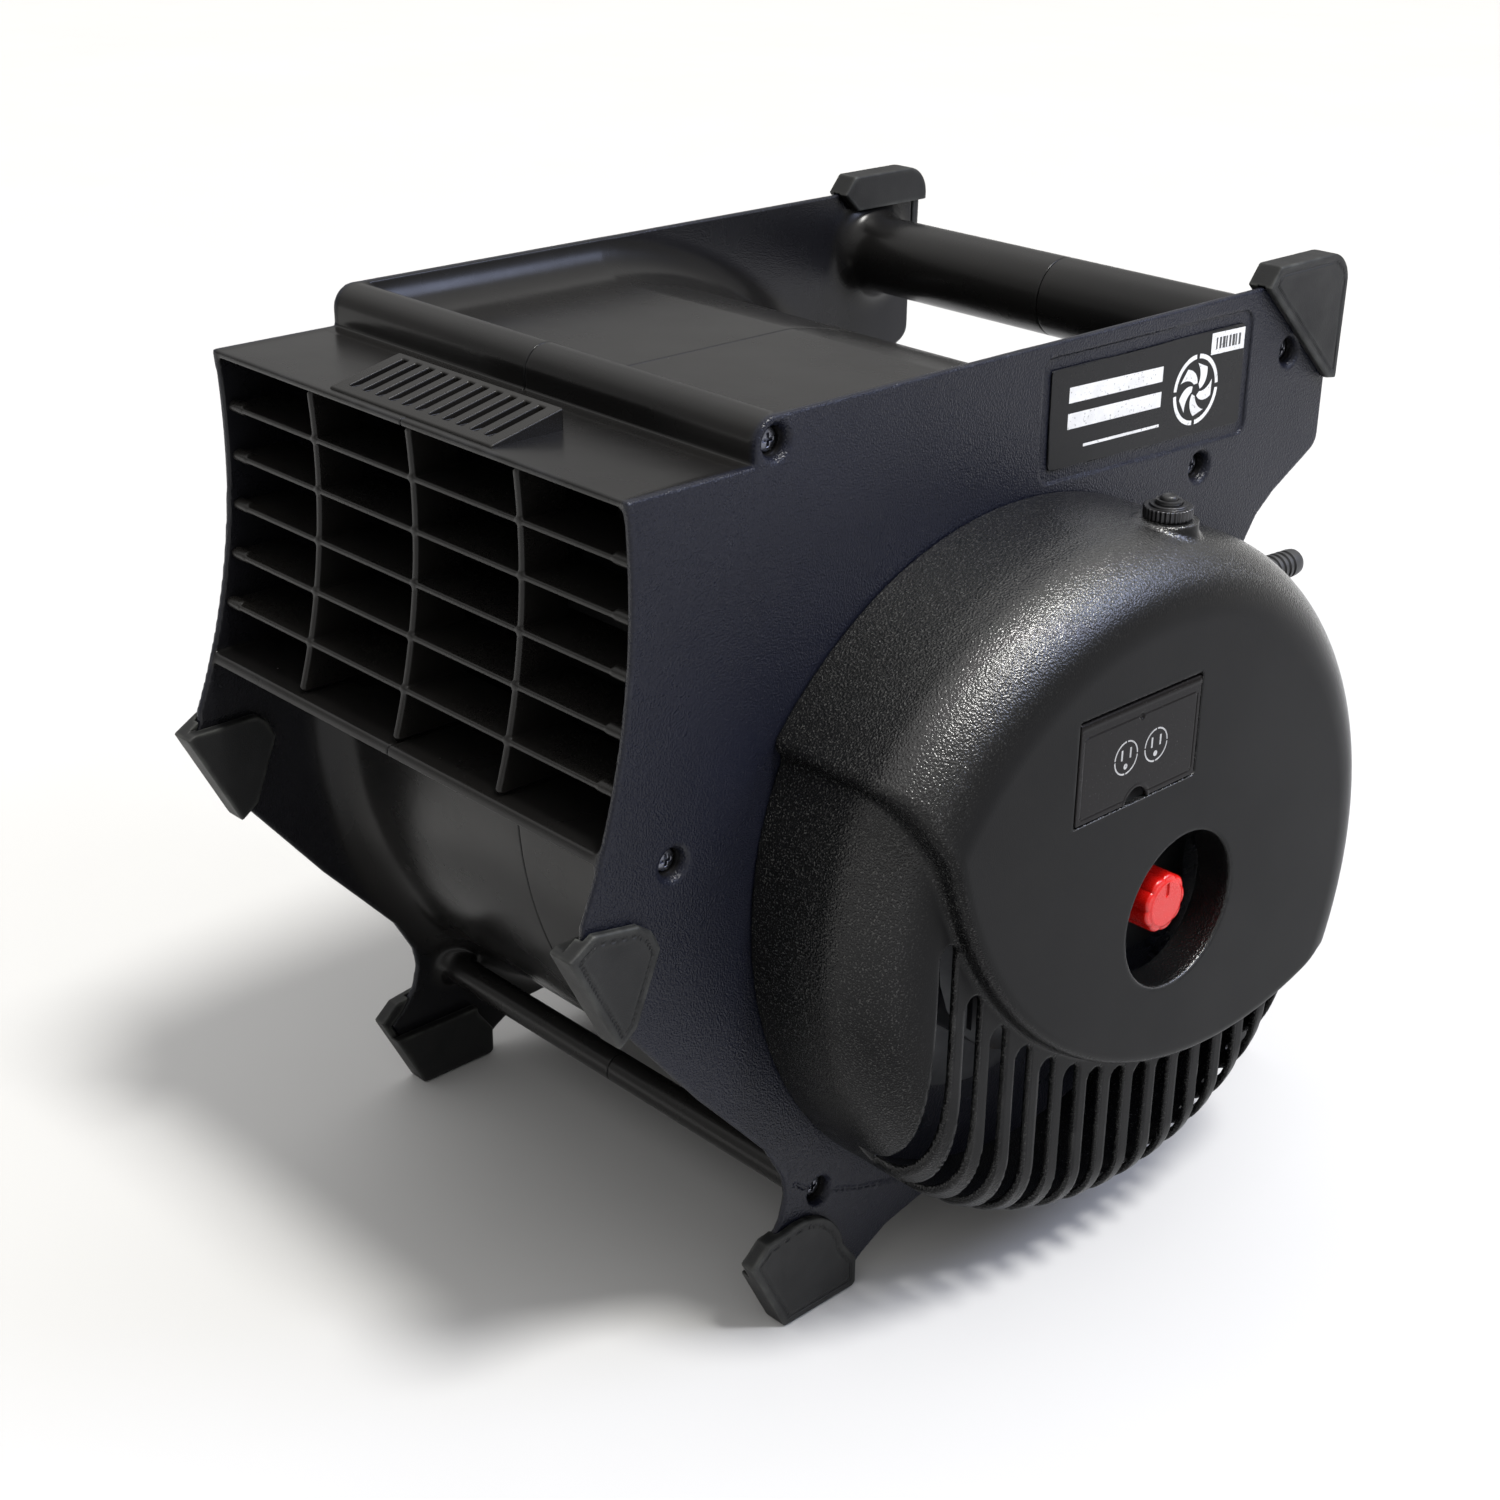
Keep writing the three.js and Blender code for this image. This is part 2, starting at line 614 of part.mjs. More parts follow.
// Lower outline: the slotted part's circle below, the cover's own circle above.
function lowerOutline(inset) {
  const points = [];
  for (let i = 0; i < SIDES; i++) {
    const a = rad((i * 360) / SIDES);
    const direction = new THREE.Vector2(Math.cos(a), Math.sin(a));
    const c = new THREE.Vector2(GRILLE_CIRCLE.y, GRILLE_CIRCLE.z - AXIS_Z);
    const along = direction.dot(c);
    const across = c.lengthSq() - along ** 2;
    const toCircle = along + Math.sqrt(GRILLE_CIRCLE.r ** 2 - across);
    const r = Math.min(toCircle, COVER_R - 0.5) - inset;
    points.push([r * direction.x, AXIS_Z + r * direction.y]);
  }
  return points;
}

function coverSolid(inset, back) {
  const round = COVER_ROUND - inset;
  const circle = arc(0, AXIS_Z, COVER_R - inset, 0, 360 - 360 / SIDES, SIDES - 1);
  const raised = pillow(circle, back, COVER_FACE - inset - round, round, 3);
  const lower = pillow(lowerOutline(inset), back, GRILLE_FACE - inset - round, round, 3);
  return lower.add(raised.intersect(prism(grown(stepLine, -inset), back - 1, COVER_FACE + 1)));
}

const coverBack = PLATE_OUT + GAP;
let cover = coverSolid(0, coverBack).subtract(coverSolid(WALL, coverBack - 40));
// Bosses for the screws that come through the side plate.
for (const { y, z } of COVER_SCREWS) {
  const post = barX(y, z, 6, coverBack, coverBack + 22, 16);
  const rib = box(coverBack, coverBack + 22, -1.5, 1.5, 0, 20)
    .rotate([(Math.atan2(z - AXIS_Z, y) * 180) / Math.PI - 90, 0, 0])
    .translate([0, y, z]);
  cover = cover
    .add(post.add(rib).intersect(coverSolid(1, coverBack)))
    .subtract(barX(y, z, 1.9, coverBack - 1, coverBack + 16, 10));
}
// Cooling slots run down the face and wrap under the edge, deepest at the front.
for (let i = 0; i < SLOT.count; i++) {
  const y = SLOT.first + SLOT.pitch * i;
  const drop = y < 60 ? 266 - Math.sqrt(175 ** 2 - (y - 60) ** 2) : 91 + 0.02 * (y - 60);
  const top = drop - 3 - SLOT.width / 2;
  const back = SLOT.back + 18 * Math.min(1, Math.max(0, (y + 75) / 60));
  cover = cover
    .subtract(box(back, COVER_FACE, y - SLOT.width / 2, y + SLOT.width / 2, 0, top))
    .subtract(barX(y, top, SLOT.width / 2, back, COVER_FACE, 8));
}
// Knob well, receptacle window and the breaker's flat.
const wellDepth = 16;
cover = cover
  .add(barX(KNOB.y, KNOB.z, KNOB.hole + 2.5, COVER_FACE - wellDepth, COVER_FACE - 1, 40))
  .subtract(barX(KNOB.y, KNOB.z, KNOB.hole, COVER_FACE - wellDepth - 1, COVER_FACE + 1, 40))
  .subtract(box(COVER_FACE - 8, COVER_FACE + 1, DOOR.y0, DOOR.y1, DOOR.z0, DOOR.z1))
  .subtract(barY(COVER_FACE - DOOR.thick, DOOR.pinZ, DOOR.pinR + GAP, DOOR.y0 - 4, DOOR.y1 + 4, 12));
const BREAKER_FLAT = 311;
const breakerBoss = barZ(BREAKER.x, BREAKER.y, 11.5, 300, BREAKER_FLAT, 28);
cover = cover
  .add(breakerBoss)
  .subtract(barZ(BREAKER.x, BREAKER.y, 5.1, 290, 320, 20))
  .subtract(box(BREAKER.x - 14, BREAKER.x + 14, BREAKER.y - 9, BREAKER.y + 9, 280, 303.3));
// Cable entry at the back of the cover.
const GLAND = { x: 140, y: 114, z: 256, r: 6.5 };
cover = cover
  .add(barY(GLAND.x, GLAND.z, 10, GLAND.y - 4, GLAND.y + 14, 20).subtract(coverSolid(1, coverBack - 40)))
  .subtract(barY(GLAND.x, GLAND.z, GLAND.r + GAP, GLAND.y - 30, GLAND.y + 30, 20));
add('motor_cover', cover, COLOURS.cover);

add(
  'cord_gland',
  barY(GLAND.x, GLAND.z, GLAND.r, GLAND.y - 6, GLAND.y + 43, 16)
    .add(barY(GLAND.x, GLAND.z, GLAND.r + 2.5, GLAND.y + 14 + GAP, GLAND.y + 19, 16))
    .subtract(barY(GLAND.x, GLAND.z, 4, GLAND.y - 7, GLAND.y + 36, 12)),
  COLOURS.rubber,
);

COVER_SCREWS.forEach(({ y, z }, i) => {
  add(`cover_screw_${i + 1}`, panScrew(y, z, PLATE_IN - GAP, 4.5, 2.6, -1, 17, 1.6), COLOURS.steel);
});

// ---------------------------------------------------------------- controls under the cover
const panelEdge = { y0: -62, y1: 62, z0: 132, z1: 268 };
let panel = box(PANEL.x, PANEL.x + PANEL.thick, panelEdge.y0, panelEdge.y1, panelEdge.z0, panelEdge.z1)
  .subtract(barX(KNOB.y, KNOB.z, 5.4, PANEL.x - 1, PANEL.x + 5, 16))
  .subtract(box(PANEL.x - 1, PANEL.x + 5, DOOR.y0 + 8, DOOR.y1 - 8, DOOR.z0 + 7, DOOR.z1 - 7));
for (const y of [panelEdge.y0, panelEdge.y1 - PANEL.thick]) {
  panel = panel.add(box(MOUNT.x1 + 6, PANEL.x + 1, y, y + PANEL.thick, 226, panelEdge.z1));
}
add('control_panel', panel, COLOURS.zinc);

const switchBody = box(PANEL.x - 4, PANEL.x - GAP, KNOB.y - 15, KNOB.y + 15, KNOB.z - 15, KNOB.z + 15)
  .add(barX(KNOB.y, KNOB.z, 5, PANEL.x - 1, PANEL.x + PANEL.thick + 4, 16))
  .subtract(barX(KNOB.y, KNOB.z, 3.3, PANEL.x - 3, PANEL.x + 20, 16));
add('speed_switch', switchBody, COLOURS.fan);

// Fluted knob with its stem.
function speedKnob() {
  const lobes = 9;
  const rim = [];
  for (let i = 0; i < lobes * 4; i++) {
    const a = (i / (lobes * 4)) * 2 * Math.PI;
    const r = KNOB.r - 0.9 + 0.9 * Math.cos(lobes * a);
    rim.push([KNOB.y + r * Math.cos(a), KNOB.z + r * Math.sin(a)]);
  }
  const skirt = PANEL.x + PANEL.thick + 4 + 1.2;
  return prism(rim, skirt, KNOB.face - 1.5)
    .add(barX(KNOB.y, KNOB.z, KNOB.r - 1.6, KNOB.face - 1.6, KNOB.face, 40, KNOB.r - 3.2))
    .add(barX(KNOB.y, KNOB.z, 3, PANEL.x - 2.5, skirt + 1, 16))
    .subtract(box(KNOB.face - 0.8, KNOB.face + 1, KNOB.y - 0.8, KNOB.y + 0.8, KNOB.z + 3, KNOB.z + 8));
}
add('speed_knob', speedKnob(), COLOURS.red);

// Duplex receptacle: a block with two faces of blade slots.
function receptacle() {
  const front = COVER_FACE - 4.5;
  const midY = (DOOR.y0 + DOOR.y1) / 2;
  const midZ = (DOOR.z0 + DOOR.z1) / 2;
  let body = box(PANEL.x + PANEL.thick + GAP, front, DOOR.y0 + 1, DOOR.y1 - 1, DOOR.z0 + 1, DOOR.z1 - 5)
    .add(box(PANEL.x - 14, PANEL.x + PANEL.thick + 1, DOOR.y0 + 9, DOOR.y1 - 9, DOOR.z0 + 8, DOOR.z1 - 8));
  for (const side of [-1, 1]) {
    const y = midY + side * 17;
    for (const z of [-5, 5]) {
      body = body.subtract(box(front - 10, front + 1, y - 4, y + 4, midZ + z - 1, midZ + z + 1));
    }
    body = body.subtract(barX(y + side * 8.5, midZ, 2.6, front - 10, front + 1, 12));
  }
  return body;
}
add('receptacle', receptacle(), COLOURS.fan);

function receptacleDoor() {
  const inner = COVER_FACE - DOOR.thick;
  const y0 = DOOR.y0 + GAP;
  const y1 = DOOR.y1 - GAP;
  const middle = (y0 + y1) / 2;
  return box(inner, COVER_FACE, y0, y1, DOOR.z0 + GAP, DOOR.pinZ)
    .add(barY(inner, DOOR.pinZ, DOOR.knuckle, y0, y1, 16))
    .subtract(barY(inner, DOOR.pinZ, DOOR.pinR + GAP, y0 - 1, y1 + 1, 12))
    .subtract(barX(middle, DOOR.z0 - 1, 6.5, inner - 1, COVER_FACE + 1, 20));
}
add('receptacle_door', receptacleDoor(), COLOURS.smoked);
add(
  'door_pin',
  barY(COVER_FACE - DOOR.thick, DOOR.pinZ, DOOR.pinR, DOOR.y0 - 3.5, DOOR.y1 + 3.5, 12),
  COLOURS.steel,
);

// ---------------------------------------------------------------- breaker with reset button
const breakerTop = BREAKER_FLAT + 7;
add(
  'breaker_body',
  box(BREAKER.x - 11, BREAKER.x + 11, BREAKER.y - 7, BREAKER.y + 7, 276, 303)
    .add(barZ(BREAKER.x, BREAKER.y, 4.8, 302, breakerTop, 20))
    .subtract(barZ(BREAKER.x, BREAKER.y, 3.6, 306, breakerTop + 1, 20)),
  COLOURS.fan,
);
function knurledNut() {
  let nut = barZ(BREAKER.x, BREAKER.y, 9.2, BREAKER_FLAT + GAP, BREAKER_FLAT + 4.6, 32);
  nut = nut.add(barZ(BREAKER.x, BREAKER.y, 7.2, BREAKER_FLAT + 4.5, BREAKER_FLAT + 5.6, 24));
  for (let i = 0; i < 16; i++) {
    const a = rad(i * 22.5);
    nut = nut.subtract(
      barZ(BREAKER.x + 9.4 * Math.cos(a), BREAKER.y + 9.4 * Math.sin(a), 0.7, 300, BREAKER_FLAT + 4.7, 6),
    );
  }
  return nut.subtract(barZ(BREAKER.x, BREAKER.y, 5.1, 300, 330, 24));
}
add('breaker_nut', knurledNut(), COLOURS.zinc);
add(
  'reset_button',
  barZ(BREAKER.x, BREAKER.y, 3.3, 309.5, breakerTop + 0.9, 20).add(
    barZ(BREAKER.x, BREAKER.y, 3.3, breakerTop + 0.8, breakerTop + 1.6, 20, 2.6),
  ),
  COLOURS.fan,
);

// ---------------------------------------------------------------- feet
// Each foot is a rubber channel pressed over a corner of the plate.
const FEET = {
  front_upper: {
    outline: [
      [tiltY(201.5), 201.5],
      [-205.2, 208],
      [-186, 204.6],
      [-180, 200.4],
      [-176.2, 192.5],
      [-187, 165.5],
      [tiltY(159.8), 159.8],
    ],
    keep: [-230, -176, 150, 203],
  },
  front_lower: {
    outline: [
      [tiltY(35.7), 35.7],
      [-123.3, 42.9],
      ...arc(-106.5, 20, 25, 100, 8, 6),
      [-74.2, 13],
      [-74.2, 1.5],
      [-75.7, 0],
      [TILT_Y, 0],
    ],
    keep: [-140, -70, -5, 27],
  },
  rear_upper: {
    outline: [
      [144.4, 368.1],
      [150.9, 376],
      [182, 376],
      ...arc(backY(364) - 13, 363, 13, 90, 0, 5),
      [backY(322), 322.5],
      [192, 323.5],
    ],
    keep: [140, 210, 360, 380],
  },
  rear_lower: {
    outline: [
      [BACK_Y, 0],
      [backY(34), 34],
      [182, 43],
      ...arc(166, 20, 24, 75, 160, 5),
      [141.5, 13],
      [141.5, 1.5],
      [143, 0],
    ],
    keep: [130, 200, -5, 27],
  },
};

function foot({ outline, keep }) {
  const [y0, y1, z0, z1] = keep;
  const block = prism(outline, FOOT_IN, FOOT_OUT);
  const slotIn = prism(grown(plateOutline, GAP), PLATE_IN - GAP, PLATE_OUT + GAP);
  const legTrim = box(FOOT_IN - 1, PLATE_IN - GAP / 2, -300, 300, -50, 450).subtract(
    box(FOOT_IN - 2, PLATE_IN, y0, y1, z0, z1),
  );
  return block.subtract(slotIn).subtract(legTrim);
}
for (const [place, data] of Object.entries(FEET)) {
  add(`foot_${place}_right`, foot(data), COLOURS.rubber);
  add(`foot_${place}_left`, mirrored(foot(data)), COLOURS.rubber);
}

// ---------------------------------------------------------------- screws and nameplate
for (const { name, y, z } of SCREWS) {
  const screw = barX(y, z, 4.2, PLATE_OUT - 7 + GAP, PLATE_OUT - 4.4, 12)
    .add(barX(y, z, 2, PLATE_OUT - 18, PLATE_OUT - 6.5, 6))
    .subtract(box(PLATE_OUT - 5.6, PLATE_OUT, y - 0.6, y + 0.6, z - 2.4, z + 2.4))
    .subtract(box(PLATE_OUT - 5.6, PLATE_OUT, y - 2.4, y + 2.4, z - 0.6, z + 0.6));
  add(name, screw, COLOURS.zinc);
}
add(
  'nameplate',
  prism(grown(NAMEPLATE, -3.2), PLATE_OUT - 0.9 + GAP, PLATE_OUT - 0.1),
  COLOURS.label,
);

// ---------------------------------------------------------------- origin on the floor, mid footprint
const bounds = new THREE.Box3().setFromObject(design, true);
design.position.set(
  -(bounds.min.x + bounds.max.x) / 2,
  -(bounds.min.y + bounds.max.y) / 2,
  -bounds.min.z,
);
const blower = new THREE.Group();
blower.add(design);
export default blower;
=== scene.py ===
"""Looks of a portable centrifugal blower: black moulded shell, grained motor cover, rubber feet, red knob."""
import math

import bpy
import bmesh
import numpy as np
from mathutils import Matrix, Vector


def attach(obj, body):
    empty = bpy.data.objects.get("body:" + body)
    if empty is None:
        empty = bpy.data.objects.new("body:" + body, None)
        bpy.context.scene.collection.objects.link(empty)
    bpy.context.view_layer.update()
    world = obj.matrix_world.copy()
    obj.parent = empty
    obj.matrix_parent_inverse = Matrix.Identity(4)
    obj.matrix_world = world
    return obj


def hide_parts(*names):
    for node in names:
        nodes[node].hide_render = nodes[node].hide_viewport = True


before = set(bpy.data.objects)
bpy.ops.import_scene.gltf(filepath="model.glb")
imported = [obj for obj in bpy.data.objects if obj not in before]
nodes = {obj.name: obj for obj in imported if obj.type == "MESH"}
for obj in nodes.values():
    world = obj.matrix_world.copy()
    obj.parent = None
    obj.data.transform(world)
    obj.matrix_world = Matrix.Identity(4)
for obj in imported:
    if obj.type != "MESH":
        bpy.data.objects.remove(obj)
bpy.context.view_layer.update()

# Lengths below are millimetres in the design frame: x from the mid-plane between the side plates
# towards the motor, y from the fan axis towards the back, z from the floor.
OFFSET = np.array([-30.7, 8.346, 0.0])
AXIS_Z = 157.0
rad = math.radians


# ------------------------------------------------------------------ fields
def soft_min(a, b, k):
    h = np.maximum(k - np.abs(a - b), 0.0) / k
    return np.minimum(a, b) - h * h * k * 0.25


def soft_max(a, b, k):
    return -soft_min(-a, -b, k)


def slab(v, lo, hi):
    return np.abs(v - (lo + hi) / 2) - (hi - lo) / 2


def rounded(a, b, e):
    """The part inside both a and b, with an edge radius e where they meet."""
    p, q = a + e, b + e
    return np.minimum(np.maximum(p, q), 0) + np.hypot(np.maximum(p, 0), np.maximum(q, 0)) - e


def ring_distance(u, v, cu, cv):
    return np.hypot(u - cu, v - cv)


class Outline:
    """Signed distance to a closed outline in (y, z), held on a fine grid."""

    def __init__(self, points, step=0.8, reach=26.0, soften=1):
        pts = np.array(points, float)
        lo, hi = pts.min(0) - reach, pts.max(0) + reach
        count = np.ceil((hi - lo) / step).astype(int) + 2
        y, z = lo[0] + step * np.arange(count[0]), lo[1] + step * np.arange(count[1])
        near = np.full(tuple(count), float(reach) ** 2)
        inside = np.zeros(tuple(count), bool)
        for a, b in zip(pts, np.roll(pts, -1, 0)):
            span = b - a
            length = float(span @ span)
            if length < 1e-9:
                continue
            low = np.floor((np.minimum(a, b) - reach - lo) / step).astype(int).clip(0)
            top = np.ceil((np.maximum(a, b) + reach - lo) / step).astype(int) + 1
            yy, zz = y[low[0]:top[0], None], z[None, low[1]:top[1]]
            t = (((yy - a[0]) * span[0] + (zz - a[1]) * span[1]) / length).clip(0, 1)
            d = (yy - a[0] - t * span[0]) ** 2 + (zz - a[1] - t * span[1]) ** 2
            window = near[low[0]:top[0], low[1]:top[1]]
            np.minimum(window, d, out=window)
            rows = (a[1] > z) != (b[1] > z)
            if rows.any():
                cross = a[0] + (z[rows] - a[1]) * span[0] / (span[1] if span[1] else 1)
                inside[:, rows] ^= y[:, None] < cross[None, :]
        grid = np.sqrt(near) * np.where(inside, -1, 1)
        for _ in range(soften):
            p = np.pad(grid, 1, mode="edge")
            grid = (4 * grid + p[:-2, 1:-1] + p[2:, 1:-1] + p[1:-1, :-2] + p[1:-1, 2:]) / 8
        self.grid, self.lo, self.step = grid.astype(np.float32), lo, step

    def __call__(self, y, z):
        u = ((y - self.lo[0]) / self.step).clip(0, self.grid.shape[0] - 1.001)
        v = ((z - self.lo[1]) / self.step).clip(0, self.grid.shape[1] - 1.001)
        i, j = u.astype(int), v.astype(int)
        u, v = u - i, v - j
        g = self.grid
        return (g[i, j] * (1 - u) + g[i + 1, j] * u) * (1 - v) + (g[i, j + 1] * (1 - u) + g[i + 1, j + 1] * u) * v


def stretch(*runs):
    """Grid positions: each run is (start, stop, spacing)."""
    parts = []
    for start, stop, spacing in runs:
        count = max(1, int(round((stop - start) / spacing)))
        parts.append(np.linspace(start, stop, count, endpoint=False))
    parts.append([runs[-1][1]])
    return np.concatenate(parts)


CORNERS = [(a, b, c) for a in (0, 1) for b in (0, 1) for c in (0, 1)]
EDGES = [(p, q) for p in CORNERS for q in CORNERS if p < q and sum(abs(i - j) for i, j in zip(p, q)) == 1]


MAX_STEP = 0.8  # farthest that a point moves at once towards its surface


def skin(name, field, xs, ys, zs, mirror=False, keep=1.0, eps=0.3):
    """A mesh over the zero surface of a field, its points moved onto it and its normals taken from it."""
    values = field(xs[:, None, None], ys[None, :, None], zs[None, None, :])
    values = np.broadcast_to(values, (len(xs), len(ys), len(zs)))
    inside = values < 0
    size = tuple(n - 1 for n in inside.shape)
    total = np.zeros(size, np.uint8)
    for a, b, c in CORNERS:
        total += inside[a:a + size[0], b:b + size[1], c:c + size[2]]
    active = (total > 0) & (total < 8)
    cell = np.nonzero(active)
    index = np.full(size, -1, np.int64)
    index[active] = np.arange(len(cell[0]))
    axes = (xs, ys, zs)
    corner_value = {c: values[cell[0] + c[0], cell[1] + c[1], cell[2] + c[2]] for c in CORNERS}
    place, hits = np.zeros((len(cell[0]), 3)), np.zeros(len(cell[0]))
    for p, q in EDGES:
        va, vb = corner_value[p], corner_value[q]
        hit = (va < 0) != (vb < 0)
        t = np.where(hit, va / np.where(hit, va - vb, 1), 0)
        for n in range(3):
            a, b = axes[n][cell[n] + p[n]], axes[n][cell[n] + q[n]]
            place[:, n] += np.where(hit, a + t * (b - a), 0)
        hits += hit
    place /= hits[:, None]
    quads = []
    for n in range(3):
        m, k = (n + 1) % 3, (n + 2) % 3
        first = np.moveaxis(inside, (n, m, k), (0, 1, 2))
        table = np.moveaxis(index, (n, m, k), (0, 1, 2))
        change = first[:-1, 1:-1, 1:-1] != first[1:, 1:-1, 1:-1]
        i, j, l = np.nonzero(change)
        quad = np.stack([table[i, j, l], table[i, j + 1, l], table[i, j + 1, l + 1], table[i, j, l + 1]], 1)
        flip = ~first[i, j + 1, l + 1]
        quad[flip] = quad[flip][:, ::-1]
        quads.append(quad)
    quads = np.concatenate(quads)

    def slope(p):
        g = np.empty_like(p)
        for n in range(3):
            up, down = p.copy(), p.copy()
            up[:, n] += eps
            down[:, n] -= eps
            g[:, n] = (field(*up.T) - field(*down.T)) / (2 * eps)
        return g

    def settled(p):
        """The points moved one step onto the surface."""
        g = slope(p)
        push = (field(*p.T) / np.maximum((g * g).sum(1), 0.25)).clip(-MAX_STEP, MAX_STEP)
        return p - g * push[:, None]

    for _ in range(2):
        place = settled(place)
    if mirror:
        place[:, 0] *= -1
        quads = quads[:, ::-1]
    mesh = bpy.data.meshes.new(name)
    points = (place + OFFSET) / 1000
    mesh.vertices.add(len(points))
    mesh.vertices.foreach_set("co", points.astype(np.float32).ravel())
    mesh.loops.add(quads.size)
    mesh.loops.foreach_set("vertex_index", quads.astype(np.int32).ravel())
    mesh.polygons.add(len(quads))
    mesh.polygons.foreach_set("loop_start", np.arange(0, quads.size, 4, dtype=np.int32))
    mesh.update(calc_edges=True)
    if keep < 1:
        draft = placed(name, mesh)
        draft.modifiers.new("thin", "DECIMATE").ratio = keep
        apply_modifiers(draft)
        mesh = draft.data
        bpy.data.objects.remove(draft)
    kept = np.empty(len(mesh.vertices) * 3, np.float32)
    mesh.vertices.foreach_get("co", kept)
    kept = kept.reshape(-1, 3) * 1000 - OFFSET
    if mirror:
        kept[:, 0] *= -1
    if keep < 1:
        kept = settled(kept)
        back = kept * (-1, 1, 1) if mirror else kept
        mesh.vertices.foreach_set("co", ((back + OFFSET) / 1000).astype(np.float32).ravel())
    normal = slope(kept)
    if mirror:
        normal[:, 0] *= -1
    normal /= np.maximum(np.linalg.norm(normal, axis=1), 1e-9)[:, None]
    mesh.polygons.foreach_set("use_smooth", np.ones(len(mesh.polygons), bool))
    mesh.normals_split_custom_set_from_vertices(normal.tolist())
    return placed(name, mesh)


def placed(name, mesh):
    thing = bpy.data.objects.new(name, mesh)
    bpy.context.collection.objects.link(thing)
    return thing


# ------------------------------------------------------------------ direct meshes
def turned(name, profile, centre, along="X", sides=96, soft=32):
    """A closed profile of (radius, distance along) turned round an axis through a design point."""
    bm = bmesh.new()
    rows = []
    for i in range(sides):
        a = 2 * math.pi * i / sides
        row = []
        for r, h in profile:
            u, v = r * math.cos(a), r * math.sin(a)
            p = {"X": (h, u, v), "Y": (u, h, -v), "Z": (u, v, h)}[along]
            row.append(bm.verts.new((Vector(p) + Vector(centre) + Vector(OFFSET)) / 1000))
        rows.append(row)
    n = len(profile)
    for i in range(sides):
        a, b = rows[i], rows[(i + 1) % sides]
        for j in range(n):
            k = (j + 1) % n
            bm.faces.new((a[j], b[j], b[k], a[k]))
    bmesh.ops.remove_doubles(bm, verts=bm.verts, dist=1e-6)
    bmesh.ops.recalc_face_normals(bm, faces=bm.faces)
    return finished(name, bm, soft)


def finished(name, bm, soft=32):
    """An object made from the bmesh, smooth across edges that bend less than soft degrees."""
    mesh = bpy.data.meshes.new(name)
    bm.to_mesh(mesh)
    bm.free()
    mesh.polygons.foreach_set("use_smooth", np.ones(len(mesh.polygons), bool))
    mesh.set_sharp_from_angle(angle=rad(soft))
    return placed(name, mesh)


def apply_modifiers(thing):
    graph = bpy.context.evaluated_depsgraph_get()
    mesh = bpy.data.meshes.new_from_object(thing.evaluated_get(graph))
    thing.modifiers.clear()
    thing.data = mesh


def from_node(node, name, width, soft=30):
    """A copy of a frame piece with merged flat faces, edges rounded by width, and smooth sides."""
    bm = bmesh.new()
    bm.from_mesh(nodes[node].data)
    bmesh.ops.remove_doubles(bm, verts=bm.verts, dist=1e-6)
    bmesh.ops.dissolve_limit(bm, angle_limit=rad(0.5), verts=bm.verts, edges=bm.edges)
    thing = finished(name, bm, soft)
    bevel = thing.modifiers.new("edges", "BEVEL")
    bevel.width = width / 1000
    bevel.segments = 2
    bevel.limit_method = "ANGLE"
    bevel.angle_limit = rad(soft)
    bevel.harden_normals = True
    apply_modifiers(thing)
    return thing


# ------------------------------------------------------------------ outlines of the shell
PLATE_IN, PLATE_OUT = 117.0, 120.0  # faces of a side plate
INSIDE_PLATE = 122.0  # walls and tubes run this far, and the plate's outer face trims them
ROOF_Z, TOP_Z, WALL, FLOOR, FLOOR_UNDER = 352.3, 368.0, 3.0, 233.0, 229.0
SCROLL_START, SCROLL_R = 225, 126.5  # degrees and radius where the scroll starts to widen
GROWTH = math.log((ROOF_Z - AXIS_Z) / SCROLL_R) / 225
SOLE = 3.4  # thickness of rubber under the plate's corners
# Centres (y, z) and radii of the tubes between the plates.
HANDLE, HANDLE_R = (167.3, 338.5), 17.5
FRONT_TUBE, FRONT_R = (-122.4, 358.6), 9.4
LOW_TUBE, LOW_R = (-92.6, 51.8), 6.6
SCREWS = {
    "housing_screw_top_rear": (112.3, 301), "housing_screw_front": (-167.5, 220.1),
    "housing_screw_low": LOW_TUBE, "housing_screw_top_front": FRONT_TUBE, "housing_screw_handle": HANDLE,
}
BOSSES, BOSS_R = (SCREWS["housing_screw_top_rear"], SCREWS["housing_screw_front"]), 6


def arc(y, z, r, start, stop, steps):
    return [(y + r * math.cos(rad(start + (stop - start) * i / steps)),
             z + r * math.sin(rad(start + (stop - start) * i / steps))) for i in range(steps + 1)]


def scroll(offset, start, stop, steps):
    """The fan's spiral wall from start to stop degrees."""
    points = []
    for i in range(steps + 1):
        a = start + (stop - start) * i / steps
        if a >= SCROLL_START:
            r = SCROLL_R * math.exp(GROWTH * (a - SCROLL_START))
        else:
            r = SCROLL_R + 14.5 * ((SCROLL_START - a) / 51) ** 2
        r += offset
        points.append((r * math.cos(rad(a)), AXIS_Z + r * math.sin(rad(a))))
    return points


def mouth_y(z):
    """The hollow front edge of the outlet."""
    radius = 280.0
    return -184.7 - radius + np.sqrt(radius ** 2 - (z - 320.0) ** 2)


def mouth(z0, z1, steps):
    heights = [z0 + (z1 - z0) * i / steps for i in range(steps + 1)]
    return [(mouth_y(z), z) for z in heights]


def tilt_y(z, d=0.0):
    """The sloping plane of the front feet's soles, or d inside it."""
    return -113.4 - z * 0.5095 + d * 1.12


def back_y(z):
    """The plane of the rear feet's backs."""
    return 191 + z * 0.023


